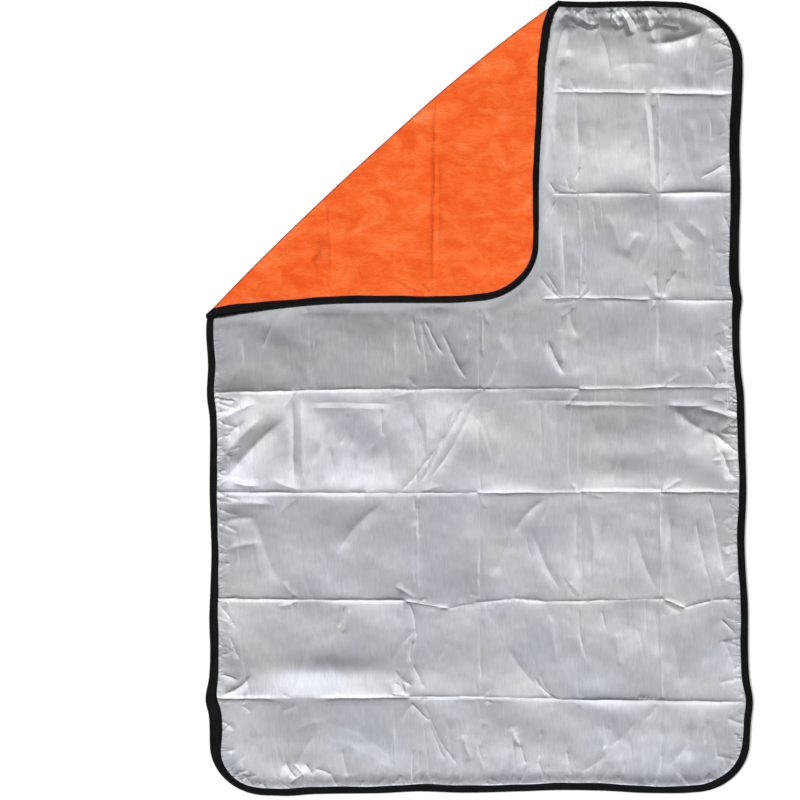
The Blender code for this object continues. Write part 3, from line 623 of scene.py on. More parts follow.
def crease_bow(crease, share):
    """How far a crease stands off the straight line between its ends."""
    wobble = WOBBLE * ripple(crease, share, *WOBBLE_LENGTHS) if crease.width < THIN else 0
    return (crease.bend * 4 * share * (1 - share) + wobble) * MM


def crease_heights(points, creases, taper=None):
    """Sum of the creases' heights: each a ridge, or a trough, that tapers off at its ends."""
    total = np.zeros(len(points))
    x, y = points.T
    for crease in creases:
        start, along, side, length = crease_line(crease)
        end = start + along * length
        width = crease.width * MM
        reach = CREASE_REACH * width + abs(crease.bend) * MM
        low, high = np.minimum(start, end) - reach, np.maximum(start, end) + reach
        near = np.flatnonzero((x > low[0]) & (x < high[0]) & (y > low[1]) & (y < high[1]))
        offset = points[near] - start
        share = np.clip(offset @ along / length, 0, 1)
        distance = offset @ side - crease_bow(crease, share)
        crest = CREST_RADIUS + SOFT_CREST * max(0, crease.width - SOFT_WIDTH) * MM
        falloff = np.exp((crest - np.hypot(distance, crest)) / width)
        own_taper = THIN_TAPER if crease.width < THIN else WIDE_TAPER
        ends = np.minimum(share, 1 - share) / (taper / length if taper else own_taper)
        uneven = UNEVEN * ripple(crease, share, *UNEVEN_LENGTHS)
        strength = 1 + uneven if crease.width < THIN else WIDE_STRENGTH
        total[near] += crease.rise * MM * strength * falloff * smooth(ends)
    return total


def swell_heights(points):
    total = np.zeros(len(points))
    for swell in SWELLS:
        across = (points[:, 0] / MM - swell.x) / swell.reach_x
        along = (points[:, 1] / MM - swell.y) / swell.reach_y
        total += swell.rise * MM * np.exp(-across ** 2 - along ** 2)
    return total


def panel_heights(points):
    """Heights between the packing folds: each panel almost plane, with a rounded edge at each fold."""
    heights = np.array([row[1:] for row in PANEL_HEIGHTS])
    row_places = [row.y for row in PANEL_HEIGHTS]
    total = np.zeros(len(points))
    offsets = FOLD_ROUNDING * np.array((-1.0, 0.0, 1.0))
    for shift_x in offsets:
        column = np.interp(points[:, 0] / MM + shift_x, PANEL_COLUMNS, np.arange(len(PANEL_COLUMNS)))
        left = np.minimum(column.astype(int), len(PANEL_COLUMNS) - 2)
        for shift_y in offsets:
            row = np.interp(points[:, 1] / MM + shift_y, row_places, np.arange(len(row_places)))
            low = np.minimum(row.astype(int), len(row_places) - 2)
            near, far = (
                heights[at, left] + (column - left) * (heights[at, left + 1] - heights[at, left])
                for at in (low, low + 1))
            total += near + (row - low) * (far - near)
    return total * MM / len(offsets) ** 2


def soft_crease(rng, start, end, rises, bend, widths):
    """A crease between two places, up or down, with a drawn rise, bend and width."""
    rise = rng.uniform(*rises) * rng.choice((1, -1))
    return Crease(*start, *end, rng.uniform(-bend, bend), rise, rng.uniform(*widths))


def slack_creases(rng):
    """Soft creases that cross each panel from fold to fold at a slant."""
    creases = []
    for low, high in zip(PANEL_HEIGHTS, PANEL_HEIGHTS[1:]):
        for left, right in zip(PANEL_COLUMNS, PANEL_COLUMNS[1:]):
            for _ in range(SLACK_PER_PANEL):
                x0, y0 = rng.uniform(left, right), low.y + (high.y - low.y) * rng.uniform(0.02, 0.35)
                x1, y1 = x0 + rng.normal(0, 24), low.y + (high.y - low.y) * rng.uniform(0.6, 0.98)
                creases.append(soft_crease(rng, (x0, y0), (x1, y1), (0.15, 0.6), 5, (2.4, 10)))
    return tuple(creases)


def fold_shoulders(rng):
    """Soft uneven stretches along the folds that packing left."""
    creases = []
    for fold in FOLDS:
        start, end = np.array((fold.x0, fold.y0)), np.array((fold.x1, fold.y1))
        for _ in range(max(1, round(np.linalg.norm(end - start) / SHOULDER_SPACING))):
            low, high = sorted(rng.uniform(0, 1, 2))
            rise = rng.uniform(0.2, 0.5) * rng.choice((1, -1))
            if high - low > SHORTEST_SHOULDER:
                ends = (*(start + (end - start) * low), *(start + (end - start) * high))
                creases.append(Crease(*ends, rng.uniform(-4, 4), rise, rng.uniform(5, 11)))
    return tuple(creases)


def crossing_creases(rng):
    """Short creases that spread out from where two packing folds cross."""
    creases = []
    for row in PANEL_HEIGHTS[1:-1]:
        for column in PANEL_COLUMNS[1:-1]:
            for _ in range(CROSSING_CREASES):
                angle, length = rng.uniform(0, 2 * math.pi), rng.uniform(20, 60)
                lead = np.array((math.cos(angle), math.sin(angle)))
                start = np.array((column, row.y)) + lead * rng.uniform(1, 8) + rng.normal(0, 3, 2)
                creases.append(soft_crease(rng, start, start + lead * length, (0.2, 0.45), 3, (1.8, 4)))
    return tuple(creases)


def wave_heights(points, waves):
    """Uneven ground made of many plane waves of random direction and length."""
    rng = np.random.default_rng(waves.seed)
    total = np.zeros(len(points))
    for _ in range(waves.count):
        angle, phase = rng.uniform(0, 2 * math.pi, 2)
        length = waves.shortest * (waves.longest / waves.shortest) ** rng.uniform()
        direction = np.array((math.cos(angle), math.sin(angle)))
        total += length * np.sin(points @ direction * 2 * math.pi / length + phase)
    return total * waves.rise / (waves.longest * math.sqrt(waves.count / 2))


def pucker_zone(x, y):
    """The row of puckers that holds at a place on the edge, in millimetres."""
    for zone in PUCKERS:
        if math.hypot(x - zone.x, y - zone.y) < zone.reach:
            return zone
    return PLAIN_PUCKERS


def edge_puckers(rng, edge, inward, zone_at):
    """Short creases that run in from the tape along a stretch of edge."""
    creases = []
    gap = 0.0
    for i in range(1, len(edge)):
        gap -= np.linalg.norm(edge[i] - edge[i - 1]) / MM
        if gap > 0:
            continue
        place = (edge[i] - OUTLINE_MIDDLE) / MM
        zone = zone_at(*place)
        gap = zone.spacing * rng.uniform(0.3, 1.7)
        turn = rng.uniform(-PUCKER_TURN, PUCKER_TURN)
        side = np.array((-inward[i][1], inward[i][0]))
        lead = inward[i] * math.cos(turn) + side * math.sin(turn)
        start = place + inward[i] * (TAPE_WIDTH / MM - PUCKER_OVERLAP)
        end = start + lead * zone.length * rng.uniform(0.5, 1.9)
        rise = PUCKER_STRENGTH * zone.rise * rng.uniform(0.4, 1.3) * rng.choice((1, 1, -0.7))
        creases.append(Crease(*start, *end, rng.uniform(-4, 4), rise, rng.uniform(1.3, 3.6)))
    return tuple(creases)


class Blanket:
    """Where each flat point lies in space."""

    def __init__(self):
        self.edge = whole_edge()
        self.inward = inward_leads(self.edge)
        self.outline = Outline(self.edge)
        folded = flap_edge()
        fold = fold_point(np.linspace(0, FOLD_LINE[-1].along, FOLD_STEPS), 0)
        self.flap = Outline(np.concatenate((folded, fold)))
        rng = np.random.default_rng(PUCKER_SEED)
        lying = lying_edge()
        self.puckers = edge_puckers(rng, lying, inward_leads(lying, False), pucker_zone)
        flap_inward = -inward_leads(folded, False)
        self.flap_puckers = edge_puckers(rng, folded, flap_inward, lambda x, y: FLAP_PUCKERS)
        rng = np.random.default_rng(SLACK_SEED)
        self.slack = slack_creases(rng) + fold_shoulders(rng) + crossing_creases(rng)

    def relief(self, points, world):
        """Height of the creased foil where it lies, calm under the flap."""
        away = np.where(self.flap.inside(points), 0.0, self.flap.distance(points))
        broad = FOIL_LIFT + panel_heights(world) + SWELL_SHARE * swell_heights(world)
        broad += wave_heights(world, BROAD_WAVES)
        sharp = crease_heights(world, FOLDS, FOLD_TAPER)
        sharp += crease_heights(world, WRINKLES + self.puckers + self.slack) + wave_heights(world, FINE_WAVES)
        heights = smooth(away / FLAP_CLEAR) * broad + smooth(away / CREASE_CLEAR) * sharp
        return np.where(heights < SHALLOW, SHALLOW * np.exp(np.minimum(heights / SHALLOW, 1) - 1), heights)

    def flap_relief(self, world):
        """Height of the creases of the folded corner."""
        creases = crease_heights(world, FLAP_CREASES + self.flap_puckers)
        return np.maximum(FLAP_STRENGTH * creases + wave_heights(world, FLAP_WAVES), FLAP_DIP)

    def locate(self, points):
        """Where flat points lie in space, midway between the two sheets."""
        rim = self.outline.distance(points)
        along, past = fold_place(points)
        edge_lift = (EDGE_HEIGHT - MID_HEIGHT) * (1 - smooth((rim - FLAT_RIM) / (RIM_FADE - FLAT_RIM)))
        calm = smooth((rim - RELIEF_START) / RELIEF_FADE)
        turn = np.clip(past, 0, BEND_LENGTH) / FOLD_RADIUS
        back = np.maximum(0, past - BEND_LENGTH)
        folded = fold_point(along, FOLD_RADIUS * np.sin(turn) - back)
        world = np.where(past[:, None] <= 0, points, folded) - OUTLINE_MIDDLE
        top = MID_HEIGHT + edge_lift + FOLD_RADIUS * (1 - np.cos(turn))
        fall = smooth(back / FLAP_DROP)
        height = top * (1 - fall) + FLAP_HEIGHT * fall
        lying, over = past <= 0, past > BEND_LENGTH
        height[lying] += calm[lying] * self.relief(points[lying], world[lying])
        height[over] += calm[over] * smooth(back[over] / FLAT_RIM) * self.flap_relief(world[over])
        return np.column_stack((world, height))

    def facing(self, points):
        """Unit vectors that the silver side faces, without the creases."""
        turn = np.clip(fold_place(points)[1], 0, BEND_LENGTH) / FOLD_RADIUS
        return np.column_stack((-np.sin(turn)[:, None] * FOLD_OUT, np.cos(turn)))

    def normals(self, points):
        """Unit vectors that the silver side faces, with the creases."""
        here = self.locate(points)
        across = self.locate(points + (NORMAL_STEP, 0)) - here
        along = self.locate(points + (0, NORMAL_STEP)) - here
        return unit(np.cross(across, along))


def crease_rows(creases, offsets):
    """Rows of points on the creases' crests, and rows beside them, in millimetres from the crest."""
    tops, sides = [], []
    for crease in creases:
        start, along, side, length = crease_line(crease)
        share = np.linspace(0, 1, max(3, round(length / CREASE_STEP) + 1))[:, None]
        top = start + along * length * share + side * crease_bow(crease, share)
        tops.append(top + OUTLINE_MIDDLE)
        sides += [tops[-1] + side * offset * MM for offset in offsets]
    return tops, sides


def field_points(reach_x, reach_y):
    """Even points over the whole sheet, in staggered rows."""
    columns = np.arange(-reach_x, reach_x, FIELD_STEP)
    rows = np.arange(-reach_y, reach_y, FIELD_STEP * math.sqrt(0.75))
    return np.concatenate([
        np.column_stack((columns + FIELD_STEP / 2 * (j % 2), np.full(len(columns), y)))
        for j, y in enumerate(rows)])


class PointSet:
    """Flat points, no two in one small cell, and the edges that the mesh has to keep."""

    def __init__(self, border):
        self.points = list(border)
        self.edges = [(i, (i + 1) % len(border)) for i in range(len(border))]
        self.cells = {}

    def add(self, points, chained=False, cell=CELL):
        last = None
        for point in points:
            key = (round(point[0] / cell), round(point[1] / cell))
            if key not in self.cells:
                self.cells[key] = len(self.points)
                self.points.append(point)
            index = self.cells[key]
            if chained and last is not None and last != index:
                self.edges.append((last, index))
            last = index

    def add_far(self, points, distance):
        tree = point_tree(self.points)
        self.points += [point for point in points if tree.find((*point, 0))[2] > distance]


def sheet_mesh(blanket):
    """One triangle mesh for both sheets: its flat points and triangles."""
    border = blanket.edge + blanket.inward * SHEET_INSET
    inner = Outline(blanket.edge + blanket.inward * (SHEET_INSET + INNER_CLEAR))
    mesh = PointSet(border)

    def add(rows, lying=True, chained=False, cell=CELL):
        stacked = np.concatenate(rows)
        kept = inner.inside(stacked)
        if lying:
            kept &= (fold_place(stacked)[1] < -BEND_CLEAR) & ~blanket.flap.inside(stacked)
        ends = np.cumsum([len(row) for row in rows])
        for row, keep in zip(rows, np.split(kept, ends[:-1])):
            mesh.add(row[keep], chained, cell)

    add([blanket.edge + blanket.inward * inset for inset in RIM_ROWS], lying=False)
    along = np.arange(-SIDE_OVERLAP, FOLD_LINE[-1].along + BEND_OVERLAP, BEND_STEP)
    past_rows = np.linspace(0, BEND_LENGTH, BEND_STEPS + 1)
    add([fold_point(along, past) for past in past_rows], lying=False, cell=BEND_CELL)
    tops, sides = crease_rows(FOLDS, FOLD_ROWS)
    finer_tops, finer_sides = crease_rows(WRINKLES, WRINKLE_ROWS)
    add(tops + finer_tops, chained=True)
    add(sides + finer_sides)
    tops, sides = crease_rows(FLAP_CREASES, FOLD_ROWS)
    add([unfold(row) for row in tops], lying=False, chained=True)
    add([unfold(row) for row in sides], lying=False)
    short = blanket.puckers + blanket.slack
    add(crease_rows(short, ())[0])
    add(crease_rows([crease for crease in short if crease.width < THIN], PUCKER_ROWS)[1])
    field = field_points(*FIELD_REACH)
    mesh.add_far(field[inner.inside(field)], 0.5 * FIELD_STEP)
    places = [Vector(point) for point in mesh.points]
    flat, _, triangles = delaunay_2d_cdt(places, mesh.edges, [], 0, MERGE_DISTANCE, False)[:3]
    flat, triangles = np.array(flat), np.array(triangles)
    return flat, triangles[Outline(border).inside(flat[triangles].mean(axis=1))]


def crinkle_places(blanket, flat):
    """Run along the edge, inset, and strength of the fine crinkles by the tape, at flat points."""
    nearest = blanket.outline.nearest(flat)
    before, here = blanket.edge[nearest - 1], blanket.edge[nearest]
    lengths = lengths_along(blanket.edge)
    run = lengths[nearest] + ((flat - here) * unit(here - before)).sum(axis=1)
    inset = blanket.outline.distance(flat)
    x, y = (here - OUTLINE_MIDDLE).T / MM
    strength = np.full(len(flat), PLAIN_PUCKERS.rise)
    for zone in PUCKERS:
        share = CRINKLE_FADE - np.hypot(x - zone.x, y - zone.y) / zone.reach
        strength = np.maximum(strength, zone.rise * smooth(share))
    strength *= 1 - smooth((inset - CRINKLE_START) / CRINKLE_REACH)
    return np.column_stack((run, inset, strength))


def add_vectors(item, name, values):
    """Gives each vertex of an object a vector that its look reads."""
    vectors = item.data.attributes.new(name, "FLOAT_VECTOR", "POINT")
    vectors.data.foreach_set("vector", values.astype(np.float32).ravel())


def new_object(name, vertices, faces, material):
    mesh = bpy.data.meshes.new(name)
    mesh.from_pydata(vertices.tolist(), [], faces.tolist())
    mesh.materials.append(material)
    mesh.shade_smooth()
    item = bpy.data.objects.new(name, mesh)
    bpy.context.collection.objects.link(item)
    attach(item, "root")
    return item


def boundary_edges(triangles):
    """The directed edges that only one triangle has."""
    directed = {(a, b) for a, b, c in triangles.tolist() for a, b in ((a, b), (b, c), (c, a))}
    return np.array(sorted((a, b) for a, b in directed if (b, a) not in directed))


def add_sheet(name, layout, low, high, material):
    """A closed thin sheet between two offsets from the middle of the blanket's layers."""
    middles, facings, normals, triangles, border = layout
    count = len(middles)
    vertices = np.concatenate((middles + facings * high, middles + facings * low))
    start, end = border.T
    walls = np.concatenate((
        np.column_stack((end, start, start + count)), np.column_stack((end, start + count, end + count))))
    faces = np.concatenate((triangles, triangles[:, ::-1] + count, walls))
    item = new_object(name, vertices, faces, material)
    item.data.normals_split_custom_set_from_vertices(np.concatenate((normals, -normals)).tolist())
    return item


def tape_section():
    """The folded tape's section: inset as a share of its width, extra inset and offset."""
    nose = [(0.0, TAPE_OUTSIDE * (1 - math.cos(a)), TAPE_OUTSIDE * math.sin(a))
            for a in np.radians(np.linspace(-90, 90, TAPE_NOSE_STEPS))]
    top = [(share, 0.0, TAPE_OUTSIDE) for share in TAPE_ROWS]
    top += [(TAPE_EDGE, 0.0, TAPE_EDGE_HEIGHT), (1.0, 0.0, TAPE_LIP), (1.0, 0.0, TAPE_INSIDE)]
    upper = [(0.0, TAPE_THICK, TAPE_INSIDE)]
    under = [(share, extra, -offset) for share, extra, offset in top[::-1]]
    return nose + top + upper + [(0.0, TAPE_THICK, -TAPE_INSIDE)] + under


def tape_width(points):
    """The tape's width at edge points: a little uneven, and wider in a few places."""
    x, y = (points - OUTLINE_MIDDLE).T / MM
    width = np.full(len(points), TAPE_WIDTH)
    for rise, rate in TAPE_WAVES:
        width += rise * np.sin(np.arange(len(points)) * rate)
    for wide in WIDENINGS:
        width += wide.extra * MM * smooth(1 - np.hypot(x - wide.x, y - wide.y) / wide.reach)
    return width


def add_tape(name, blanket, material):
    """A tape folded round the sheets' edge, as one closed ring."""
    edge, inward = blanket.edge, blanket.inward
    width = tape_width(edge)
    section = tape_section()
    rows = []
    for share, extra, offset in section:
        flat = edge + inward * (share * width + extra)[:, None]
        rows.append(blanket.locate(flat) + blanket.facing(flat) * offset)
    rings, sides = len(edge), len(section)
    vertices = np.stack(rows, axis=1).reshape(-1, 3)
    ring, k = np.meshgrid(np.arange(rings), np.arange(sides), indexing="ij")
    here, there = ring * sides, (ring + 1) % rings * sides
    after = (k + 1) % sides
    faces = np.stack((here + k, there + k, there + after, here + after), axis=-1).reshape(-1, 4)
    item = new_object(name, vertices, faces, material)
    item.data.set_sharp_from_angle(angle=TAPE_SHARP)
    lengths = lengths_along(edge)
    across = np.array([share * TAPE_WIDTH + extra + 0.5 * offset for share, extra, offset in section])
    add_vectors(item, "run", np.stack(np.broadcast_arrays(lengths[:, None], across[None, :], 0.0), axis=-1))
    return item


def fill_socket(tree, socket, value):
    """Sets a socket's value, or links another node's output to it."""
    if isinstance(value, bpy.types.NodeSocket):
        tree.links.new(value, socket)
    else:
        socket.default_value = value


def fill_ramp(node, stops):
    """Sets a ramp node's stops, each a place with a grey value or a colour."""
    elements = node.color_ramp.elements
    while len(elements) < len(stops):
        elements.new(1.0)
    for element, (place, colour) in zip(elements, stops):
        element.position = place
        element.color = (*colour, 1) if isinstance(colour, tuple) else (colour, colour, colour, 1)
    return node.outputs["Color"]


def math_node(tree, operation, *values):
    """The output of a new math node whose inputs are values or other nodes' outputs."""
    node = tree.nodes.new("ShaderNodeMath")
    node.operation = operation
    for socket, value in zip(node.inputs, values):
        fill_socket(tree, socket, value)
    return node.outputs["Value"]


class Look:
    """A procedural material, built up node by node."""

    def __init__(self, name, roughness, metallic=0.0):
        self.material = bpy.data.materials.new(name)
        self.material.use_nodes = True
        self.tree = self.material.node_tree
        self.shader = self.tree.nodes["Principled BSDF"]
        self.shader.inputs["Roughness"].default_value = roughness
        self.shader.inputs["Metallic"].default_value = metallic
        self.coords = self.tree.nodes.new("ShaderNodeTexCoord").outputs["Object"]

    def node(self, kind, **inputs):
        """A new node whose inputs are values or other nodes' outputs."""
        node = self.tree.nodes.new(kind)
        for key, value in inputs.items():
            fill_socket(self.tree, node.inputs[key.replace("_", " ")], value)
        return node

    def attribute(self, name):
        node = self.node("ShaderNodeAttribute")
        node.attribute_name = name
        return node.outputs["Vector"]

    def part(self, vector, axis):
        return self.node("ShaderNodeSeparateXYZ", Vector=vector).outputs[axis]

    def stretched(self, scale, turn=0.0):
        node = self.node("ShaderNodeMapping", Vector=self.coords, Scale=scale, Rotation=(0, 0, turn))
        return node.outputs["Vector"]

    def noise(self, vector, scale, detail=3.0, roughness=0.5, distortion=0.0):
        node = self.node("ShaderNodeTexNoise", Vector=vector, Scale=scale, Detail=detail,
                         Roughness=roughness, Distortion=distortion)
        return node.outputs["Fac"]

    def ramp(self, value, stops):
        return fill_ramp(self.node("ShaderNodeValToRGB", Fac=value), stops)

    def mix(self, share, first, second, blend="MIX"):
        node = self.tree.nodes.new("ShaderNodeMix")
        node.data_type = "RGBA"
        node.blend_type = blend
        for index, value in ((0, share), (6, first), (7, second)):
            fill_socket(self.tree, node.inputs[index], value)
        return node.outputs[2]

    def bump(self, height, distance, strength=1.0, below=None):
        under = {"Normal": below} if below is not None else {}
        node = self.node("ShaderNodeBump", Height=height, Distance=distance, Strength=strength, **under)
        return node.outputs["Normal"]

    def finish(self, colour, normal, roughness=None):
        self.tree.links.new(colour, self.shader.inputs["Base Color"])
        self.tree.links.new(normal, self.shader.inputs["Normal"])
        if roughness is not None:
            self.tree.links.new(roughness, self.shader.inputs["Roughness"])
        return self.material


def foil_look():
    """Metallised film: satin, with a fine grain along the blanket and slight tints."""
    look = Look("silver_foil", 0.24, 1.0)
    grain = look.noise(look.stretched((1.0, 0.10, 1.0)), 480, 2.0)
    combing = look.noise(look.stretched((1.0, 0.12, 1.0)), 95, 3.0, 0.6)
    crumple = look.noise(look.coords, 90, 3.0, 0.55, 0.3)
    patches = look.noise(look.coords, 5.5, 2.0)
    tints = (0.35, (0.775, 0.78, 0.83)), (0.5, (0.80, 0.80, 0.825)), (0.65, (0.82, 0.815, 0.81))
    tint = look.ramp(patches, tints)
    shade = look.ramp(grain, ((0.3, 0.93), (0.7, 1.0)))
    colour = look.mix(1.0, tint, shade, "MULTIPLY")
    along = math_node(look.tree, "MULTIPLY_ADD", look.part(look.coords, "Y"), 0.55, 0.5)
    casts = (0.0, (0.955, 0.972, 1.0)), (0.5, (0.985, 0.985, 0.995)), (1.0, (1.0, 1.0, 0.98))
    colour = look.mix(1.0, colour, look.ramp(along, casts), "MULTIPLY")
    rough = look.ramp(patches, ((0.3, 0.19), (0.7, 0.25)))
    normal = look.bump(combing, 0.00026, 0.7)
    normal = look.bump(crumple, 0.00008, 0.6, normal)
    normal = look.bump(grain, 0.00009, 0.7, normal)
    for turn, scale, place in ((0.05, 13, 5.0), (-0.30, 17, 7.0)):
        lines = look.noise(look.stretched((1.0, 0.13, 1.0), turn), scale, 1.0, 0.4, 0.1)
        crests = look.ramp(lines, ((0.465, 0.0), (0.5, 1.0), (0.535, 0.0)))
        share = look.ramp(look.noise(look.coords, place, 1.0), ((0.50, 0.0), (0.62, 1.0)))
        normal = look.bump(math_node(look.tree, "MULTIPLY", crests, share), 0.00026, 1.0, normal)
    rim = look.attribute("rim")
    place = look.node("ShaderNodeMapping", Vector=rim, Scale=(1.0, 0.5, 0.0)).outputs["Vector"]
    loops = math_node(look.tree, "MULTIPLY", look.noise(place, 30, 1.5, 0.5, 0.5), 6.0)
    crinkles = math_node(look.tree, "PINGPONG", loops, 0.5)
    crinkles = math_node(look.tree, "MULTIPLY", crinkles, look.part(rim, "Z"))
    normal = look.bump(crinkles, 0.0009, 1.0, normal)
    return look.finish(colour, normal, rough)


def orange_look():
    """Fibrous non-woven cloth: matt, with mottled streaks that run mostly across the blanket, and painted
    shade that darkens it to brown round the lower part of the folded edge's bend.
    """
    look = Look("orange_cloth", 0.82)
    look.shader.inputs["Sheen Weight"].default_value = 0.03
    look.shader.inputs["Sheen Roughness"].default_value = 0.5
    look.shader.inputs["Specular IOR Level"].default_value = 0.15
    clouds = look.noise(look.stretched((0.75, 1.0, 1.0), 0.3), 22, 6.0, 0.6, 0.9)
    streaks = look.noise(look.stretched((0.35, 1.0, 1.0), 0.25), 120, 4.0, 0.6, 1.4)
    fibres = look.noise(look.stretched((0.35, 1.0, 1.0), -0.4), 560, 4.0, 0.6, 0.8)
    blotch = look.mix(0.3, clouds, streaks)
    colour = look.ramp(blotch, ((0.30, (0.70, 0.070, 0.006)), (0.46, (0.79, 0.105, 0.014)),
                                (0.58, (0.84, 0.150, 0.032)), (0.74, (0.88, 0.270, 0.110))))
    fine = look.ramp(fibres, ((0.35, 0.88), (0.65, 1.0)))
    colour = look.mix(1.0, colour, fine, "MULTIPLY")
    # Painted shade: the cloth is darkened to brown up to 0.74 of the way round the folded edge's bend, and on
    # the whole underside where it lies. The shade fades out by 0.97 of the way round.
    painted_bend_shade = (0.74, (0.26, 0.20, 0.24)), (0.88, (0.60, 0.48, 0.48)), (0.97, (1.0, 1.0, 1.0))
    edge = look.ramp(look.part(look.attribute("bend"), "X"), painted_bend_shade)
    colour = look.mix(1.0, colour, edge, "MULTIPLY")
    normal = look.bump(blotch, 0.0018, 0.7)
    return look.finish(colour, look.bump(fibres, 0.0004, 0.7, normal))


def tape_look():
    """Woven polyester tape: near black, with fine ribs across it."""
    look = Look("black_tape", 0.62)
    look.shader.inputs["Specular IOR Level"].default_value = 0.09
    run = look.attribute("run")
    ribs = look.node("ShaderNodeTexWave", Vector=run, Scale=330.0, Distortion=0.6)
    threads = look.node("ShaderNodeTexWave", Vector=run, Scale=260.0)
    threads.bands_direction = "Y"
    weave = look.mix(0.5, ribs.outputs["Color"], threads.outputs["Color"])
    wear = look.noise(look.coords, 30, 3.0)
    colour = look.ramp(wear, ((0.35, (0.0012, 0.0012, 0.0015)), (0.7, (0.004, 0.004, 0.0045))))
    return look.finish(colour, look.bump(weave, 0.0003, 0.8))


def add_blanket():
    blanket = Blanket()
    flat, triangles = sheet_mesh(blanket)
    border = boundary_edges(triangles)
    layout = (blanket.locate(flat), blanket.facing(flat), blanket.normals(flat), triangles, border)
    half = GAP / 2
    foil = add_sheet("foil_sheet", layout, half, half + FOIL_THICK, foil_look())
    add_vectors(foil, "rim", np.tile(crinkle_places(blanket, flat), (2, 1)))
    backing = add_sheet("orange_sheet", layout, -half - BACKING_THICK, -half, orange_look())
    # How far round the folded edge's bend each point is, which places the orange look's painted shade.
    bend_shade_place = np.column_stack((fold_place(flat)[1] / BEND_LENGTH, np.zeros((len(flat), 2))))
    add_vectors(backing, "bend", np.tile(bend_shade_place, (2, 1)))
    tape = add_tape("binding_tape", blanket, tape_look())
    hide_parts("foil_face")
    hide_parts("orange_backing")
    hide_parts("edge_binding")


# The camera stands far off with a long lens, at the photograph's angle.
CAMERA_ELEVATION = math.radians(62.51)
CAMERA_DISTANCE = 70.0
CAMERA_TARGET = Vector((-0.1579, -0.0083, 0.0))
PICTURE_WIDTH = 1.6180
SENSOR_WIDTH = 36.0

Tone = namedtuple("Tone", "height light")

# The sky's light by height above the horizon, from 0 to 1: flat foil shows the part at 0.887.
SKY_LIGHT = 1.4
SKY_TONES = table(
    Tone,
    (0.00, 0.34), (0.40, 0.28), (0.56, 0.11), (0.66, 0.10), (0.76, 0.18), (0.805, 0.27), (0.835, 0.355),
    (0.86, 0.375), (0.887, 0.385), (0.905, 0.44), (0.925, 0.60), (0.95, 0.85), (1.00, 1.00),
)

# Soft boxes at the diagonals, and a fill low down beside and on the camera's side, which the foil
# shows from the other sides. Each band fades them between two values of a part of the direction.
Band = namedtuple("Band", "part low high start end")
BOX_LIGHT = 0.75
BOX_BANDS = table(
    Band,
    ("Z", 0.25, 0.55, 0.0, 1.0), ("Z", 0.81, 0.98, 1.0, 0.0),
    ("X", -0.25, 0.25, 1.0, 0.35), ("Y", 0.50, 0.66, 1.0, 0.15),
)
BOX_ROUNDING = 1.02
FILL_LIGHT = 0.34
FILL_BANDS = table(
    Band,
    ("Y", -0.05, 0.30, 1.0, 0.0), ("Z", 0.72, 0.92, 1.0, 0.0),
)
SKY_TINT = (0.985, 0.99, 1.0)
SUN_STRENGTH = 2.35
SUN_ELEVATION = math.radians(46)
SUN_AZIMUTH = math.radians(200)
SUN_WIDTH = math.radians(35)
FLOOR_SIZE = 12.0
FLOOR_HEIGHT = -0.0004


def add_floor():
    reach = FLOOR_SIZE / 2
    mesh = bpy.data.meshes.new("floor")
    corners = [(-reach, -reach, 0), (reach, -reach, 0), (reach, reach, 0), (-reach, reach, 0)]
    mesh.from_pydata(corners, [], [(0, 1, 2, 3)])
    floor = bpy.data.objects.new("floor", mesh)
    floor.location.z = FLOOR_HEIGHT
    bpy.context.collection.objects.link(floor)
    look = Look("floor", 0.9)
    faint = look.ramp(look.noise(look.coords, 3.0), ((0.3, 0.92), (0.7, 0.935)))
    look.tree.links.new(faint, look.shader.inputs["Base Color"])
    look.shader.inputs["Specular IOR Level"].default_value = 0.0
    mesh.materials.append(look.material)


def add_camera():
    camera = bpy.data.objects.new("camera", bpy.data.cameras.new("camera"))
    camera.data.sensor_width = SENSOR_WIDTH
    camera.data.lens = SENSOR_WIDTH * CAMERA_DISTANCE / PICTURE_WIDTH
    camera.data.clip_end = 4 * CAMERA_DISTANCE
    back = Vector((0, -math.cos(CAMERA_ELEVATION), math.sin(CAMERA_ELEVATION)))
    camera.location = CAMERA_TARGET + back * CAMERA_DISTANCE
    camera.rotation_euler = (math.pi / 2 - CAMERA_ELEVATION, 0, 0)
    bpy.context.collection.objects.link(camera)
    bpy.context.scene.camera = camera


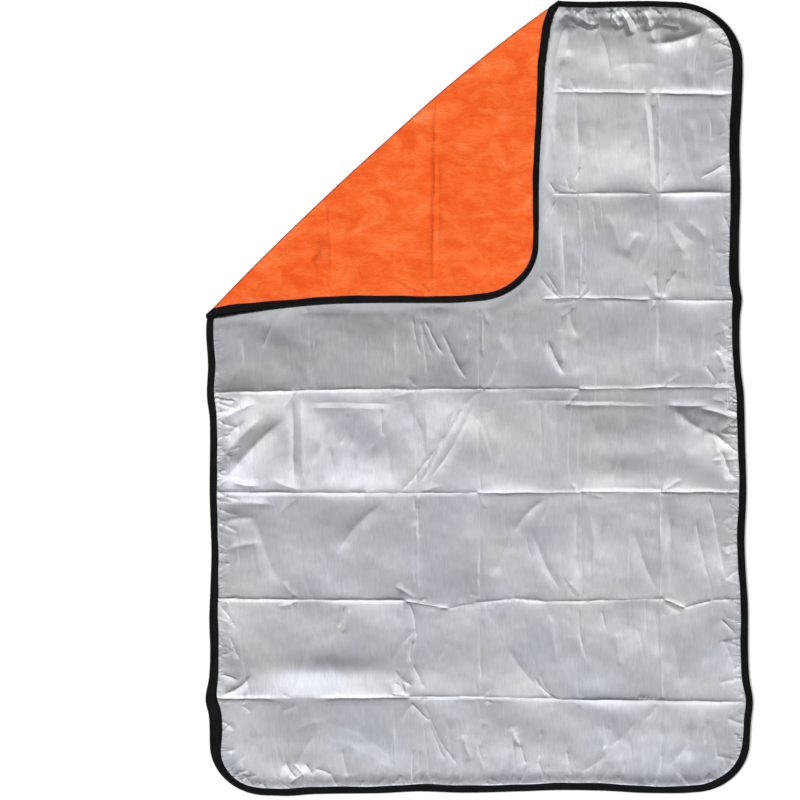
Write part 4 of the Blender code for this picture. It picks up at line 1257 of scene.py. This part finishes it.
def add_light():
    sun = bpy.data.objects.new("sun", bpy.data.lights.new("sun", "SUN"))
    sun.data.energy = SUN_STRENGTH
    sun.data.angle = SUN_WIDTH
    level, height = math.cos(SUN_ELEVATION), math.sin(SUN_ELEVATION)
    towards = Vector((level * math.cos(SUN_AZIMUTH), level * math.sin(SUN_AZIMUTH), height))
    sun.rotation_euler = towards.to_track_quat("Z", "Y").to_euler()
    bpy.context.collection.objects.link(sun)


def add_sky():
    """A soft studio sky, bright overhead, with tall soft boxes at the diagonals and a low fill."""
    world = bpy.data.worlds.new("studio")
    bpy.context.scene.world = world
    world.use_nodes = True
    tree = world.node_tree
    nodes, links = tree.nodes, tree.links
    lead = nodes.new("ShaderNodeSeparateXYZ")
    links.new(nodes.new("ShaderNodeTexCoord").outputs["Generated"], lead.inputs[0])
    x, y, z = lead.outputs

    def faded(light, bands):
        for band in bands:
            node = nodes.new("ShaderNodeMapRange")
            node.interpolation_type = "SMOOTHSTEP"
            links.new(lead.outputs[band.part], node.inputs["Value"])
            for key, value in zip(("From Min", "From Max", "To Min", "To Max"), band[1:]):
                node.inputs[key].default_value = value
            light = math_node(tree, "MULTIPLY", light, node.outputs["Result"])
        return light

    tones = nodes.new("ShaderNodeValToRGB")
    links.new(z, tones.inputs["Fac"])
    sky = math_node(tree, "MULTIPLY", fill_ramp(tones, SKY_TONES), SKY_LIGHT)
    across = math_node(tree, "SUBTRACT", BOX_ROUNDING, math_node(tree, "MULTIPLY", z, z))
    product = math_node(tree, "MULTIPLY", math_node(tree, "MULTIPLY", x, y), 2.0)
    diagonal = math_node(tree, "DIVIDE", product, across)
    boxes = math_node(tree, "MULTIPLY", math_node(tree, "MULTIPLY", diagonal, diagonal), BOX_LIGHT)
    light = math_node(tree, "ADD", sky, faded(boxes, BOX_BANDS))
    light = math_node(tree, "ADD", light, faded(FILL_LIGHT, FILL_BANDS))
    links.new(light, nodes["Background"].inputs["Strength"])
    nodes["Background"].inputs["Color"].default_value = (*SKY_TINT, 1)


bpy.context.scene.view_settings.view_transform = "Standard"
add_blanket()
add_floor()
add_camera()
add_light()
add_sky()
